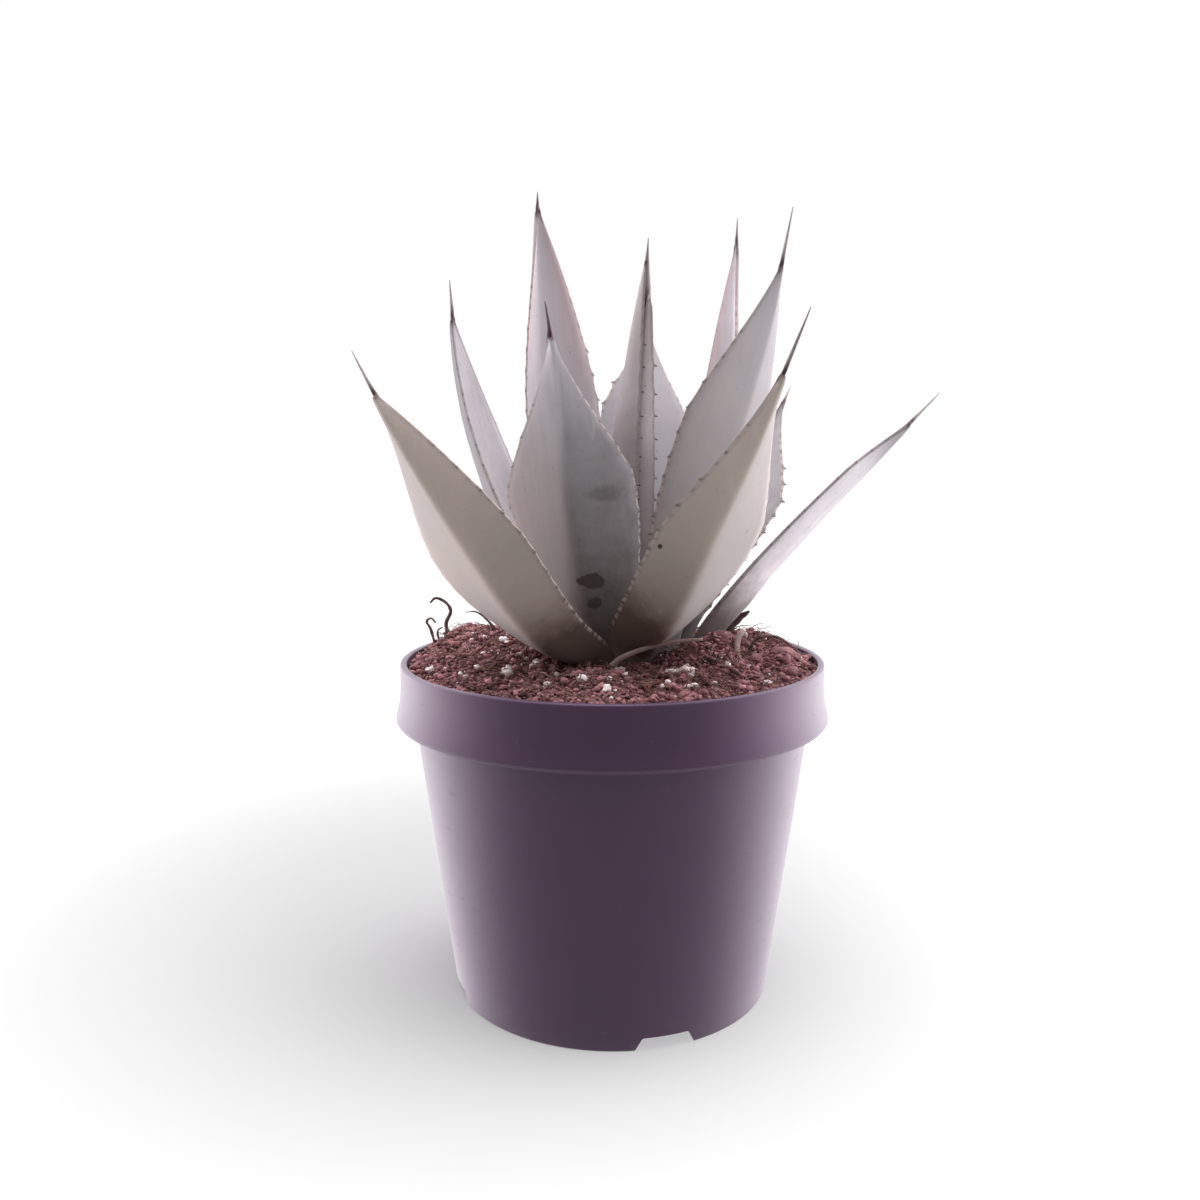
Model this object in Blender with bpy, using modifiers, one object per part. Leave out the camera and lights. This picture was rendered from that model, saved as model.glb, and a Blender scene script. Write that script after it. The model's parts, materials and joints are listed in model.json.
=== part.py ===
"""A young agave in a plastic nursery pot.

The pot stands on the ground plane, its axis is the Z axis and its front faces -Y.
A short stem stands in a hole in the soil. Eleven open leaves and a bud of three
furled leaves grow from the stem, each of them one solid with its marginal teeth
and its end spine. Sizes are in millimetres and degrees, turned to metres by MM.
"""

import math

import bmesh
import bpy
from mathutils import Matrix, Vector, noise

MM = 0.001

# The pot: a moulded shell with a collar, a raised floor, a foot ring and a centre foot
POT_HEIGHT = 111.6
POT_TOP_R = 70.0
POT_BASE_R = 53.2
BODY_TOP_R = 65.3
COLLAR_FOOT_Z = 92.0
COLLAR_LIP_R = 71.8
POT_WALL = 1.8
RIM_ROUND = 0.8
COLLAR_WAIST_Z = 102.6
COLLAR_FLARE_Z = 96.5
COLLAR_FLARE = 0.9
LIP_ROUND = 1.2
BASE_ROUND_Z = 2.0
INNER_TOP_R = POT_TOP_R - POT_WALL - 0.4
INNER_LEDGE_R = BODY_TOP_R - POT_WALL
INNER_BASE_R = POT_BASE_R - POT_WALL
LEDGE_Z = COLLAR_FOOT_Z + 2.0
FLOOR_Z = 4.6
FLOOR_THICK = 1.6
CENTRE_FOOT_R = 9.0
NOTCHES = 4
NOTCH_TURN = 17.5
NOTCH_ROOF_WIDE = 15.4
NOTCH_SLOPE_WIDE = 24.0
NOTCH_TALL = 4.4
NOTCH_DEEP = 12.0
DRAIN_HOLES = 8
DRAIN_HOLE_R = 4.0
DRAIN_RING_R = 33.0
POT_STEPS = 44

# Gaps between pieces that touch on the real plant
GAP = 0.3

# The rosette grows beside the pot's axis
ROSETTE_X = 6.2
ROSETTE_Y = 0.0

# The stem: a short thick caudex with a blunt cone that the leaves grow from
STEM_R = 20.0
STEM_FOOT_Z = 86.0
STEM_SHOULDER_Z = 106.0
STEM_TOP_Z = 123.0
STEM_STEPS = 26

# The soil
SOIL_RIM_Z = 109.6
SOIL_CROWN_Z = 113.5
SOIL_CROWN_R = 33.0
SOIL_LUMPS = 1.6
SOIL_RIM_R = INNER_TOP_R - 0.8
SOIL_HOLE_Z = 96.0
SOIL_DISH_R = 27.0
SOIL_DISH_Z = 100.0
SOIL_DISH_RIM_R = 32.5
SOIL_RINGS = (0.0, 0.17, 0.32, 0.48, 0.64, 0.82, 1.0)
SOIL_STEPS = 38

# A leaf's edge, spine and teeth
EDGE_THICK = 0.6
MIDRIB_TIP_THICK = 1.2
SUNK_IN_STEM = 6.0
SPINE_ROOT_R = 1.1
SPINE_POINT_R = 0.15
TOOTH_LONG = 1.7
TOOTH_LEAST = 0.65
TOOTH_FULL_AT = 0.4
TOOTH_LEAN = 0.25
TOOTH_ROOT_R = 0.75
TOOTH_SUNK = 0.9
TOOTH_FIRST = 0.13
TOOTH_LAST = 0.71
TOOTH_STEP_FOOT = 5.0
TOOTH_STEP_TIP = 9.0

# Each open leaf: azimuth is the way it leans (0 is +X, 270 the front) and sweep how far
# that turns by the tip. rise is its slope at the foot and at the tip, and arch its extra
# slope halfway. half is its half-width, foot that share of it at the foot, widest where it
# is widest and taper how much it is drawn out at the tip. curl is the half-angle of its
# gutter, keel how much deeper that is folded along its ridge, ridge how far that runs from
# the middle as a share of half, and roll and twist turn it about its own length at the
# foot and by the tip.
# The last FOOT_SHARE of every leaf bends down to FOOT_RISE, where it clasps the stem.
FOOT_RISE = 75.0
FOOT_SHARE = 0.16
FOLD_POWER = 1.35
KEEL_AT_FOOT = 0.3
KEEL_GROWS = 3.0
LEAVES = {
    "leaf_front_left": dict(
        azimuth=221.0, sweep=-37.5, rise=(6.0, 62.0), arch=20.5, length=110.5, half=28.5,
        foot=0.47, widest=0.51, taper=0.34, curl=(3.0, 30.5), roll=5.5, twist=24.5,
        from_axis=19.5, from_ground=112.0, thick=4.5, spine=14.0, keel=6.5, ridge=0.5),
    "leaf_front": dict(
        azimuth=238.0, sweep=8.5, rise=(49.5, 71.0), arch=10.5, length=100.5, half=19.5,
        foot=0.52, widest=0.55, taper=0.64, curl=(22.5, 19.0), roll=5.0, twist=50.5,
        from_axis=13.5, from_ground=119.0, thick=4.5, spine=10.0, keel=5.0, ridge=-0.17),
    "leaf_front_right": dict(
        azimuth=288.0, sweep=49.0, rise=(15.0, 67.0), arch=18.0, length=102.5, half=20.5,
        foot=0.63, widest=0.54, taper=0.62, curl=(29.0, 3.0), roll=4.0, twist=-19.0,
        from_axis=17.0, from_ground=117.5, thick=4.5, spine=19.0, keel=5.0, ridge=-0.33),
    "leaf_right_inner": dict(
        azimuth=329.0, sweep=13.0, rise=(71.5, 78.5), arch=-5.0, length=122.0, half=21.5,
        foot=0.41, widest=0.61, taper=0.42, curl=(31.5, 12.5), roll=-22.5, twist=7.0,
        from_axis=11.0, from_ground=119.0, thick=4.5, spine=17.5, keel=1.5, ridge=0.0),
    "leaf_right": dict(
        azimuth=359.5, sweep=24.5, rise=(55.5, 38.5), arch=-5.0, length=109.5, half=16.5,
        foot=0.36, widest=0.69, taper=0.53, curl=(9.5, 16.0), roll=-11.0, twist=-17.0,
        from_axis=20.0, from_ground=113.0, thick=4.5, spine=16.5, keel=3.0, ridge=0.0),
    "leaf_right_back": dict(
        azimuth=51.5, sweep=-3.0, rise=(49.0, 51.0), arch=-6.5, length=115.5, half=23.5,
        foot=0.55, widest=0.55, taper=0.66, curl=(24.5, 31.5), roll=6.0, twist=1.5,
        from_axis=17.0, from_ground=113.5, thick=4.5, spine=9.5, keel=2.5, ridge=0.0),
    "leaf_back_right": dict(
        azimuth=39.0, sweep=-5.5, rise=(42.5, 86.0), arch=14.5, length=143.0, half=15.0,
        foot=0.33, widest=0.45, taper=0.09, curl=(22.0, 31.5), roll=-13.5, twist=-1.5,
        from_axis=11.0, from_ground=112.5, thick=4.0, spine=10.0, keel=2.0, ridge=0.0),
    "leaf_back": dict(
        azimuth=81.5, sweep=1.0, rise=(78.5, 42.0), arch=4.5, length=115.0, half=18.5,
        foot=0.42, widest=0.59, taper=0.68, curl=(48.5, 27.0), roll=6.5, twist=38.5,
        from_axis=10.5, from_ground=123.5, thick=3.5, spine=15.0, keel=2.0, ridge=0.0),
    "leaf_back_low": dict(
        azimuth=99.5, sweep=0.0, rise=(34.5, 60.0), arch=4.0, length=111.0, half=22.5,
        foot=0.50, widest=0.45, taper=0.20, curl=(21.0, 34.0), roll=4.0, twist=0.0,
        from_axis=18.0, from_ground=108.0, thick=4.0, spine=17.0, keel=2.5, ridge=0.0),
    "leaf_back_left": dict(
        azimuth=133.0, sweep=3.0, rise=(51.5, 86.5), arch=10.5, length=156.0, half=21.5,
        foot=0.42, widest=0.55, taper=0.19, curl=(22.0, 44.5), roll=7.0, twist=4.0,
        from_axis=11.5, from_ground=111.5, thick=4.0, spine=6.5, keel=4.0, ridge=0.0),
    "leaf_left": dict(
        azimuth=173.5, sweep=-3.0, rise=(58.5, 84.5), arch=-5.0, length=120.0, half=19.5,
        foot=0.46, widest=0.54, taper=0.13, curl=(12.5, 22.0), roll=-0.5, twist=-0.5,
        from_axis=16.0, from_ground=111.5, thick=4.5, spine=12.5, keel=3.5, ridge=0.0),
}

# The bud: furled leaves round leaning axes, each a shell with a gap where it opens.
# radii are (height, radius) up the leaf, and it runs from the first angle of opens
# clockwise round to the second. A spined leaf's point is at its tip.
FURLED = {
    "bud_outer": dict(
        foot=(4.5, 0.0, 123.4), tip=(11.4, 0.0, 247.0),
        radii=((123.4, 6.8), (140.0, 8.8), (155.0, 9.6), (168.0, 9.2), (187.0, 7.5), (204.0, 5.6),
               (220.0, 3.9), (230.0, 2.9), (237.0, 1.9)),
        opens=(273.0, 60.0), thick=1.3, spined=True),
    "bud_middle": dict(
        foot=(5.6, 0.0, 123.4), tip=(13.6, -1.2, 230.0),
        radii=((123.4, 5.0), (145.0, 6.8), (164.0, 6.7), (184.0, 5.4), (201.0, 4.1), (215.0, 2.9),
               (224.0, 1.7), (228.0, 1.0)),
        opens=(320.0, 120.0), thick=1.2, spined=False),
}
BUD_CORE_R = 3.3
BUD_CORE_TOP = 214.0
BUD_CORE_SIDES = 12
BUD_CORE_ROWS = 9
FURLED_ROWS = 12
FURLED_STEPS = 10
FURLED_TOOTH = 0.6
FURLED_TOOTH_FIRST = 0.3
FURLED_SPINE_SIDES = 8
FURLED_SPINE_ROWS = 6

ACROSS = (-1.0, -0.55, 0.0, 0.55, 1.0)
FOOT_STOPS = (0.0, 0.04, 0.08, 0.12)
BLADE_ROWS = 11
SPINE_ROWS = 3


def clear_scene():
    """Start from an empty scene."""
    for obj in list(bpy.data.objects):
        bpy.data.objects.remove(obj)


def new_collection(name):
    """A collection linked to the scene."""
    group = bpy.data.collections.new(name)
    bpy.context.scene.collection.children.link(group)
    return group


def material(name, colour, roughness):
    """A plain Principled material in the part's colour."""
    mat = bpy.data.materials.new(name)
    mat.use_nodes = True
    shader = mat.node_tree.nodes["Principled BSDF"]
    shader.inputs["Base Color"].default_value = (*colour, 1.0)
    shader.inputs["Roughness"].default_value = roughness
    shader.inputs["Metallic"].default_value = 0.0
    return mat


def add_object(name, bm, group, mat, smooth=40.0):
    """Put a bmesh into the scene as one object."""
    mesh = bpy.data.meshes.new(name)
    bm.to_mesh(mesh)
    bm.free()
    obj = bpy.data.objects.new(name, mesh)
    group.objects.link(obj)
    if mat is not None:
        mesh.materials.append(mat)
    mesh.shade_smooth()
    mesh.set_sharp_from_angle(angle=math.radians(smooth))
    return obj


def apply_modifiers(obj):
    """Replace an object's mesh by what its modifiers make of it."""
    graph = bpy.context.evaluated_depsgraph_get()
    mesh = bpy.data.meshes.new_from_object(obj.evaluated_get(graph))
    obj.modifiers.clear()
    obj.data = mesh


def turned(name, profile, steps, group, mat):
    """A solid of revolution about Z from a profile of (radius, height) in millimetres."""
    mesh = bpy.data.meshes.new(name)
    points = [(r * MM, 0.0, z * MM) for r, z in profile]
    edges = [(i, i + 1) for i in range(len(points) - 1)]
    if profile[0][0] > 0.0:
        edges.append((len(points) - 1, 0))
    mesh.from_pydata(points, edges, [])
    obj = bpy.data.objects.new(name, mesh)
    group.objects.link(obj)
    screw = obj.modifiers.new("turn", "SCREW")
    screw.steps = steps
    screw.render_steps = steps
    screw.use_merge_vertices = True
    screw.merge_threshold = 0.00001
    screw.use_normal_calculate = True
    apply_modifiers(obj)
    # The section closes on the axis, so the turned skin is welded there and faces out
    bm = bmesh.new()
    bm.from_mesh(obj.data)
    bmesh.ops.remove_doubles(bm, verts=bm.verts, dist=0.00001)
    bmesh.ops.recalc_face_normals(bm, faces=bm.faces)
    bm.to_mesh(obj.data)
    bm.free()
    if mat is not None:
        obj.data.materials.append(mat)
    return obj


def pot_profile():
    """Half the pot's section, down its outside from the lip and back up its inside."""
    floor_top = FLOOR_Z + FLOOR_THICK
    return [
        (INNER_TOP_R + RIM_ROUND * 0.7, POT_HEIGHT),
        (POT_TOP_R - RIM_ROUND, POT_HEIGHT),
        (POT_TOP_R, POT_HEIGHT - RIM_ROUND),
        (POT_TOP_R, COLLAR_WAIST_Z),
        (POT_TOP_R + COLLAR_FLARE, COLLAR_FLARE_Z),
        (COLLAR_LIP_R, COLLAR_FOOT_Z + LIP_ROUND),
        (COLLAR_LIP_R - LIP_ROUND * 0.4, COLLAR_FOOT_Z),
        (BODY_TOP_R + RIM_ROUND, COLLAR_FOOT_Z - RIM_ROUND),
        (BODY_TOP_R, COLLAR_FOOT_Z - 2.0 * RIM_ROUND),
        (POT_BASE_R + 0.35, BASE_ROUND_Z),
        (POT_BASE_R, 0.0),
        (INNER_BASE_R, 0.0),
        (INNER_BASE_R, FLOOR_Z),
        (CENTRE_FOOT_R + 0.6, FLOOR_Z),
        (CENTRE_FOOT_R, 0.0),
        (0.0, 0.0),
        (0.0, floor_top),
        (INNER_BASE_R - 1.0, floor_top),
        (INNER_BASE_R + 0.4, floor_top + 1.4),
        (INNER_LEDGE_R, LEDGE_Z - 1.4),
        (INNER_TOP_R - 0.4, LEDGE_Z),
        (INNER_TOP_R, POT_HEIGHT - RIM_ROUND),
    ]


def cut(obj, cutters):
    """Take every object of a collection out of obj."""
    tool = obj.modifiers.new("cut", "BOOLEAN")
    tool.operation = "DIFFERENCE"
    tool.operand_type = "COLLECTION"
    tool.collection = cutters
    tool.solver = "EXACT"


def hide_cutter(obj):
    """Mark an object as a cutter, not a piece."""
    obj.hide_render = True
    obj.display_type = "WIRE"


def make_pot(group, mat):
    """The pot, with drain holes through its floor and notches in its foot ring."""
    pot = turned("pot", pot_profile(), POT_STEPS, group, mat)
    cutters = new_collection("pot_cutters")
    for i in range(DRAIN_HOLES):
        turn = math.radians((i + 0.5) * 360.0 / DRAIN_HOLES)
        bm = bmesh.new()
        place = Matrix.Rotation(turn, 4, "Z") @ Matrix.Translation((DRAIN_RING_R * MM, 0.0, 5.0 * MM))
        bmesh.ops.create_cone(
            bm, cap_ends=True, segments=10, radius1=DRAIN_HOLE_R * MM, radius2=DRAIN_HOLE_R * MM,
            depth=8.0 * MM, matrix=place)
        hide_cutter(add_object("drain_%d" % i, bm, cutters, None))
    for i in range(NOTCHES):
        turn = math.radians(NOTCH_TURN - 90.0 + i * 360.0 / NOTCHES)
        bm = bmesh.new()
        bmesh.ops.create_cube(bm, size=1.0)
        for v in bm.verts:
            wide = NOTCH_ROOF_WIDE if v.co.z > 0.0 else NOTCH_SLOPE_WIDE
            z = NOTCH_TALL if v.co.z > 0.0 else -NOTCH_TALL
            v.co = Vector(((POT_BASE_R + v.co.x * NOTCH_DEEP) * MM, v.co.y * wide * MM, z * MM))
        bmesh.ops.rotate(bm, verts=bm.verts, cent=(0.0, 0.0, 0.0), matrix=Matrix.Rotation(turn, 3, "Z"))
        hide_cutter(add_object("notch_%d" % i, bm, cutters, None))
    cut(pot, cutters)
    return pot


def soil_height(x, y):
    """Height of the soil's surface, a low mound with lumps, at a place in millimetres."""
    from_rosette = math.hypot(x - ROSETTE_X, y - ROSETTE_Y)
    share = min(1.0, max(0.0, (SOIL_RIM_R - math.hypot(x, y)) / (SOIL_RIM_R - SOIL_CROWN_R)))
    mound = SOIL_RIM_Z + (SOIL_CROWN_Z - SOIL_RIM_Z) * math.sin(0.5 * math.pi * share)
    lump = noise.noise(Vector((x * 0.11, y * 0.11, 3.7))) + 0.5 * noise.noise(Vector((x * 0.3, y * 0.3, 9.1)))
    height = mound + SOIL_LUMPS * lump
    dish = (from_rosette - SOIL_DISH_R) / (SOIL_DISH_RIM_R - SOIL_DISH_R)
    if dish < 1.0:
        height = SOIL_DISH_Z + max(0.0, dish) * (height - SOIL_DISH_Z)
    return height


def make_soil(group, mat):
    """The soil: it fills the pot, mounds up to the rosette and has a hole for the stem."""
    hole_r = STEM_R + GAP
    top_r = INNER_TOP_R - GAP
    foot_r = INNER_BASE_R - GAP
    floor = FLOOR_Z + FLOOR_THICK + GAP
    bm = bmesh.new()
    # Section from the axis: the hole's floor and wall, the mound, the side and the bottom
    section = [(0.0, STEM_FOOT_Z - GAP), (hole_r, STEM_FOOT_Z - GAP), (hole_r, SOIL_HOLE_Z)]
    section += [(SOIL_DISH_R + (top_r - SOIL_DISH_R) * k, None) for k in SOIL_RINGS]
    section += [(top_r - 0.5, LEDGE_Z + 3.0 * GAP), (INNER_LEDGE_R - 0.7, LEDGE_Z - 1.1)]
    section += [(foot_r + 0.1, floor + 1.9), (foot_r - 1.6, floor), (0.0, floor)]
    columns = len(section)
    bmesh.ops.create_grid(bm, x_segments=columns - 1, y_segments=SOIL_STEPS, size=1.0)
    bm.verts.ensure_lookup_table()
    for row in range(SOIL_STEPS + 1):
        turn = 2.0 * math.pi * row / SOIL_STEPS
        for column, (r, z) in enumerate(section):
            vert = bm.verts[row * columns + column]
            # The hole is round about the rosette and the wall round about the pot
            share = min(1.0, max(0.0, (r - hole_r) / (SOIL_RIM_R - hole_r)))
            if column > 2 + len(SOIL_RINGS):
                share = 1.0
            x = r * math.cos(turn) + ROSETTE_X * (1.0 - share)
            y = r * math.sin(turn) + ROSETTE_Y * (1.0 - share)
            vert.co = (x * MM, y * MM, (soil_height(x, y) if z is None else z) * MM)
    bmesh.ops.remove_doubles(bm, verts=bm.verts, dist=0.00001)
    bmesh.ops.triangulate(bm, faces=bm.faces)
    bmesh.ops.recalc_face_normals(bm, faces=bm.faces)
    return add_object("soil", bm, group, mat, 60.0)


def stem_profile(grow):
    """Half the stem's section, grown outwards by a clearance in millimetres."""
    return [
        (0.0, STEM_TOP_Z + grow),
        (8.0 + grow * 0.6, STEM_TOP_Z + grow),
        (11.0 + grow * 0.8, 119.5 + grow * 0.6),
        (14.0 + grow * 0.8, 116.5 + grow * 0.6),
        (16.5 + grow * 0.8, 113.5 + grow * 0.6),
        (18.5 + grow * 0.8, 110.0 + grow * 0.6),
        (STEM_R + grow, STEM_SHOULDER_Z),
        (STEM_R + grow, STEM_FOOT_Z - grow),
        (0.0, STEM_FOOT_Z - grow),
    ]


def make_stem(name, grow, group, mat):
    """The stem, or the cutter that keeps the leaves' feet clear of it."""
    obj = turned(name, stem_profile(grow), STEM_STEPS, group, mat)
    obj.data.transform(Matrix.Translation((ROSETTE_X * MM, ROSETTE_Y * MM, 0.0)))
    return obj


def half_width(leaf, t):
    """Half-width of the blade as a share of the leaf's widest, at t from foot to tip."""
    if t < leaf["widest"]:
        rise = math.sin(0.5 * math.pi * max(0.0, t) / leaf["widest"]) ** 1.3
        return leaf["foot"] + (1.0 - leaf["foot"]) * rise
    u = (t - leaf["widest"]) / (1.0 - leaf["widest"])
    return max(0.0, (1.0 - u ** 1.9) * (1.0 - leaf["taper"] * u))


def leaf_frames(leaf, stops):
    """Places and directions along a leaf: (t, centre, along, across, inwards), in mm."""
    fine = 240
    ahead = Vector((0.0, 0.0, 0.0))
    azimuth = math.radians(leaf["azimuth"])
    foot = Vector((
        ROSETTE_X + leaf["from_axis"] * math.cos(azimuth),
        ROSETTE_Y + leaf["from_axis"] * math.sin(azimuth),
        leaf["from_ground"]))

    def directions(t):
        low, high = leaf["rise"]
        bend = max(0.0, FOOT_RISE - low) * max(0.0, 1.0 - t / FOOT_SHARE) ** 2
        slope = math.radians(low + (high - low) * t + leaf["arch"] * 4.0 * t * (1.0 - t) + bend)
        turn = azimuth + math.radians(leaf["sweep"]) * t
        roll = math.radians(leaf["roll"] + leaf["twist"] * t)
        along = Vector((math.cos(slope) * math.cos(turn), math.cos(slope) * math.sin(turn), math.sin(slope)))
        level = Vector((-math.sin(turn), math.cos(turn), 0.0))
        upper = along.cross(level)
        across = level * math.cos(roll) + upper * math.sin(roll)
        inwards = upper * math.cos(roll) - level * math.sin(roll)
        return along, across, inwards

    frames = []
    walked = 0
    for t in stops:
        held = min(1.0, max(0.0, t))
        while walked < round(held * fine):
            ahead = ahead + directions((walked + 0.5) / fine)[0] * (leaf["length"] / fine)
            walked += 1
        along, across, inwards = directions(held)
        beyond = along * ((t - held) * leaf["length"])
        frames.append((t, foot + ahead + beyond, along, across, inwards))
    return frames


def blade_section(leaf, frame):
    """The ring of points round the blade at one frame: its inner face, then its outer."""
    t, centre, along, across, inwards = frame
    held = min(1.0, max(0.0, t))
    low, high = leaf["curl"]
    curl = math.radians(low + (high - low) * held)
    half = max(leaf["half"] * half_width(leaf, held), SPINE_ROOT_R)
    rib = MIDRIB_TIP_THICK + leaf["thick"] * (1.0 - held) ** 1.2
    edge = EDGE_THICK
    if t > 1.0:
        left = 1.0 - (t - 1.0) * leaf["length"] / leaf["spine"]
        half = SPINE_POINT_R + (SPINE_ROOT_R - SPINE_POINT_R) * max(0.0, left) ** 0.8
        rib = 2.0 * half
        edge = min(EDGE_THICK, half)
    wide = half * math.sin(curl) / curl
    tall = half * (1.0 - math.cos(curl)) / curl
    deep = leaf["keel"] * min(1.0, KEEL_AT_FOOT + KEEL_GROWS * held) * math.sqrt(1.0 - held)
    inner = []
    outer = []
    ridge = leaf["ridge"] if t < 1.0 else 0.0
    for share in ACROSS:
        off = abs(share)
        reach = wide * (1.0 - ridge if share > 0.0 else 1.0 + ridge)
        fold = tall * off ** FOLD_POWER - deep * (1.0 - off)
        steep = (tall * FOLD_POWER * off ** (FOLD_POWER - 1.0) + deep) / reach
        lean = math.copysign(math.atan(steep), share) if off > 0.0 else 0.0
        place = centre + across * (wide * ridge + reach * share) + inwards * fold
        normal = inwards * math.cos(lean) - across * math.sin(lean)
        thick = edge + (rib - edge) * (1.0 - off) ** 0.75
        inner.append(place)
        outer.append(place - normal * thick)
    return inner + outer[::-1]


def loft(bm, sections):
    """A closed skin through rings of as many points each, capped at both ends."""
    around = len(sections[0])
    bmesh.ops.create_grid(bm, x_segments=around, y_segments=len(sections) - 1, size=1.0)
    bm.verts.ensure_lookup_table()
    for row, ring in enumerate(sections):
        for column in range(around + 1):
            bm.verts[row * (around + 1) + column].co = ring[column % around] * MM
    bmesh.ops.remove_doubles(bm, verts=bm.verts, dist=0.000001)
    rims = [edge for edge in bm.edges if edge.is_boundary]
    bmesh.ops.holes_fill(bm, edges=rims, sides=0)
    bmesh.ops.triangulate(bm, faces=bm.faces, quad_method="FIXED")
    bmesh.ops.recalc_face_normals(bm, faces=bm.faces)


def tooth_stops(length, first, last):
    """Places of the teeth along a margin: close together low down, wider apart above."""
    t = first
    stops = []
    while t < last:
        stops.append(t)
        share = (t - first) / (last - first)
        t += (TOOTH_STEP_FOOT + (TOOTH_STEP_TIP - TOOTH_STEP_FOOT) * share) / length
    return stops


def add_tooth(name, root, out, size, group):
    """One three-sided tooth with its root sunk into the margin."""
    bm = bmesh.new()
    long = (TOOTH_LONG * size + TOOTH_SUNK) * MM
    bmesh.ops.create_cone(
        bm, cap_ends=True, segments=3, radius1=TOOTH_ROOT_R * MM, radius2=0.0, depth=long)
    turn = out.to_track_quat("Z", "X").to_matrix().to_4x4()
    middle = (root - out * TOOTH_SUNK) * MM + out * (long * 0.5)
    bmesh.ops.transform(bm, verts=bm.verts, matrix=Matrix.Translation(middle) @ turn)
    add_object(name, bm, group, None)


def fuse(obj, pieces):
    """Join every object of a collection to obj in one union, then drop them."""
    tool = obj.modifiers.new("fuse", "BOOLEAN")
    tool.operation = "UNION"
    tool.operand_type = "COLLECTION"
    tool.collection = pieces
    tool.solver = "EXACT"
    apply_modifiers(obj)
    for piece in list(pieces.objects):
        bpy.data.objects.remove(piece)
    bpy.data.collections.remove(pieces)


def keep_largest(obj):
    """Drop any loose scrap that a cut left, and keep the one main body."""
    bm = bmesh.new()
    bm.from_mesh(obj.data)
    left = set(bm.verts)
    bodies = []
    while left:
        body = {left.pop()}
        edge = list(body)
        while edge:
            vert = edge.pop()
            for link in vert.link_edges:
                other = link.other_vert(vert)
                if other in left:
                    left.discard(other)
                    body.add(other)
                    edge.append(other)
        bodies.append(body)
    bodies.sort(key=len)
    scraps = [vert for body in bodies[:-1] for vert in body]
    bmesh.ops.delete(bm, geom=scraps, context="VERTS")
    bmesh.ops.triangulate(bm, faces=bm.faces)
    bm.to_mesh(obj.data)
    bm.free()


def make_leaf(name, leaf, stem_cutters, group, mat):
    """One open leaf with its end spine and teeth, its foot cut to the stem."""
    foot = -SUNK_IN_STEM / leaf["length"]
    spine_share = leaf["spine"] / leaf["length"]
    above = [FOOT_SHARE + (1.0 - FOOT_SHARE) * i / (BLADE_ROWS - 1) for i in range(BLADE_ROWS)]
    stops = [foot] + list(FOOT_STOPS) + above
    stops += [1.0 + spine_share * (i + 1) / SPINE_ROWS for i in range(SPINE_ROWS)]
    frames = leaf_frames(leaf, stops)
    bm = bmesh.new()
    loft(bm, [blade_section(leaf, frame) for frame in frames])
    obj = add_object(name, bm, group, mat)
    teeth = new_collection(name + "_teeth")
    for frame in leaf_frames(leaf, tooth_stops(leaf["length"], TOOTH_FIRST, TOOTH_LAST)):
        t, along = frame[0], frame[2]
        ring = blade_section(leaf, frame)
        size = TOOTH_LEAST + (1.0 - TOOTH_LEAST) * min(1.0, t / TOOTH_FULL_AT)
        for side in (-1, 1):
            index = 0 if side < 0 else len(ACROSS) - 1
            inner = ring[index]
            outer = ring[-1 - index]
            nearer = ring[index - side]
            out = (inner - nearer).normalized()
            out = (out - along * TOOTH_LEAN).normalized()
            add_tooth("%s_tooth_%d_%.3f" % (name, side, t), (inner + outer) * 0.5, out, size, teeth)
    fuse(obj, teeth)
    cut(obj, stem_cutters)
    apply_modifiers(obj)
    keep_largest(obj)
    return obj


def bud_centre(leaf, z):
    """The axis of a furled leaf at a height, in millimetres."""
    foot = Vector(leaf["foot"])
    tip = Vector(leaf["tip"])
    return foot.lerp(tip, (z - foot.z) / (tip.z - foot.z))


def bud_ring(leaf, z, radius, sides):
    """A level ring of points round a furled leaf's axis."""
    ways = [2.0 * math.pi * i / sides for i in range(sides)]
    return [bud_centre(leaf, z) + Vector((math.cos(a), math.sin(a), 0.0)) * radius for a in ways]


def furled_radius(leaf, z):
    """Radius of a furled leaf at a height, read between its listed ones."""
    below, above = leaf["radii"][0], leaf["radii"][-1]
    for stop in leaf["radii"]:
        if stop[0] <= z:
            below = stop
    for stop in leaf["radii"][::-1]:
        if stop[0] >= z:
            above = stop
    if above[0] <= below[0]:
        return below[1]
    return below[1] + (above[1] - below[1]) * (z - below[0]) / (above[0] - below[0])


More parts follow.
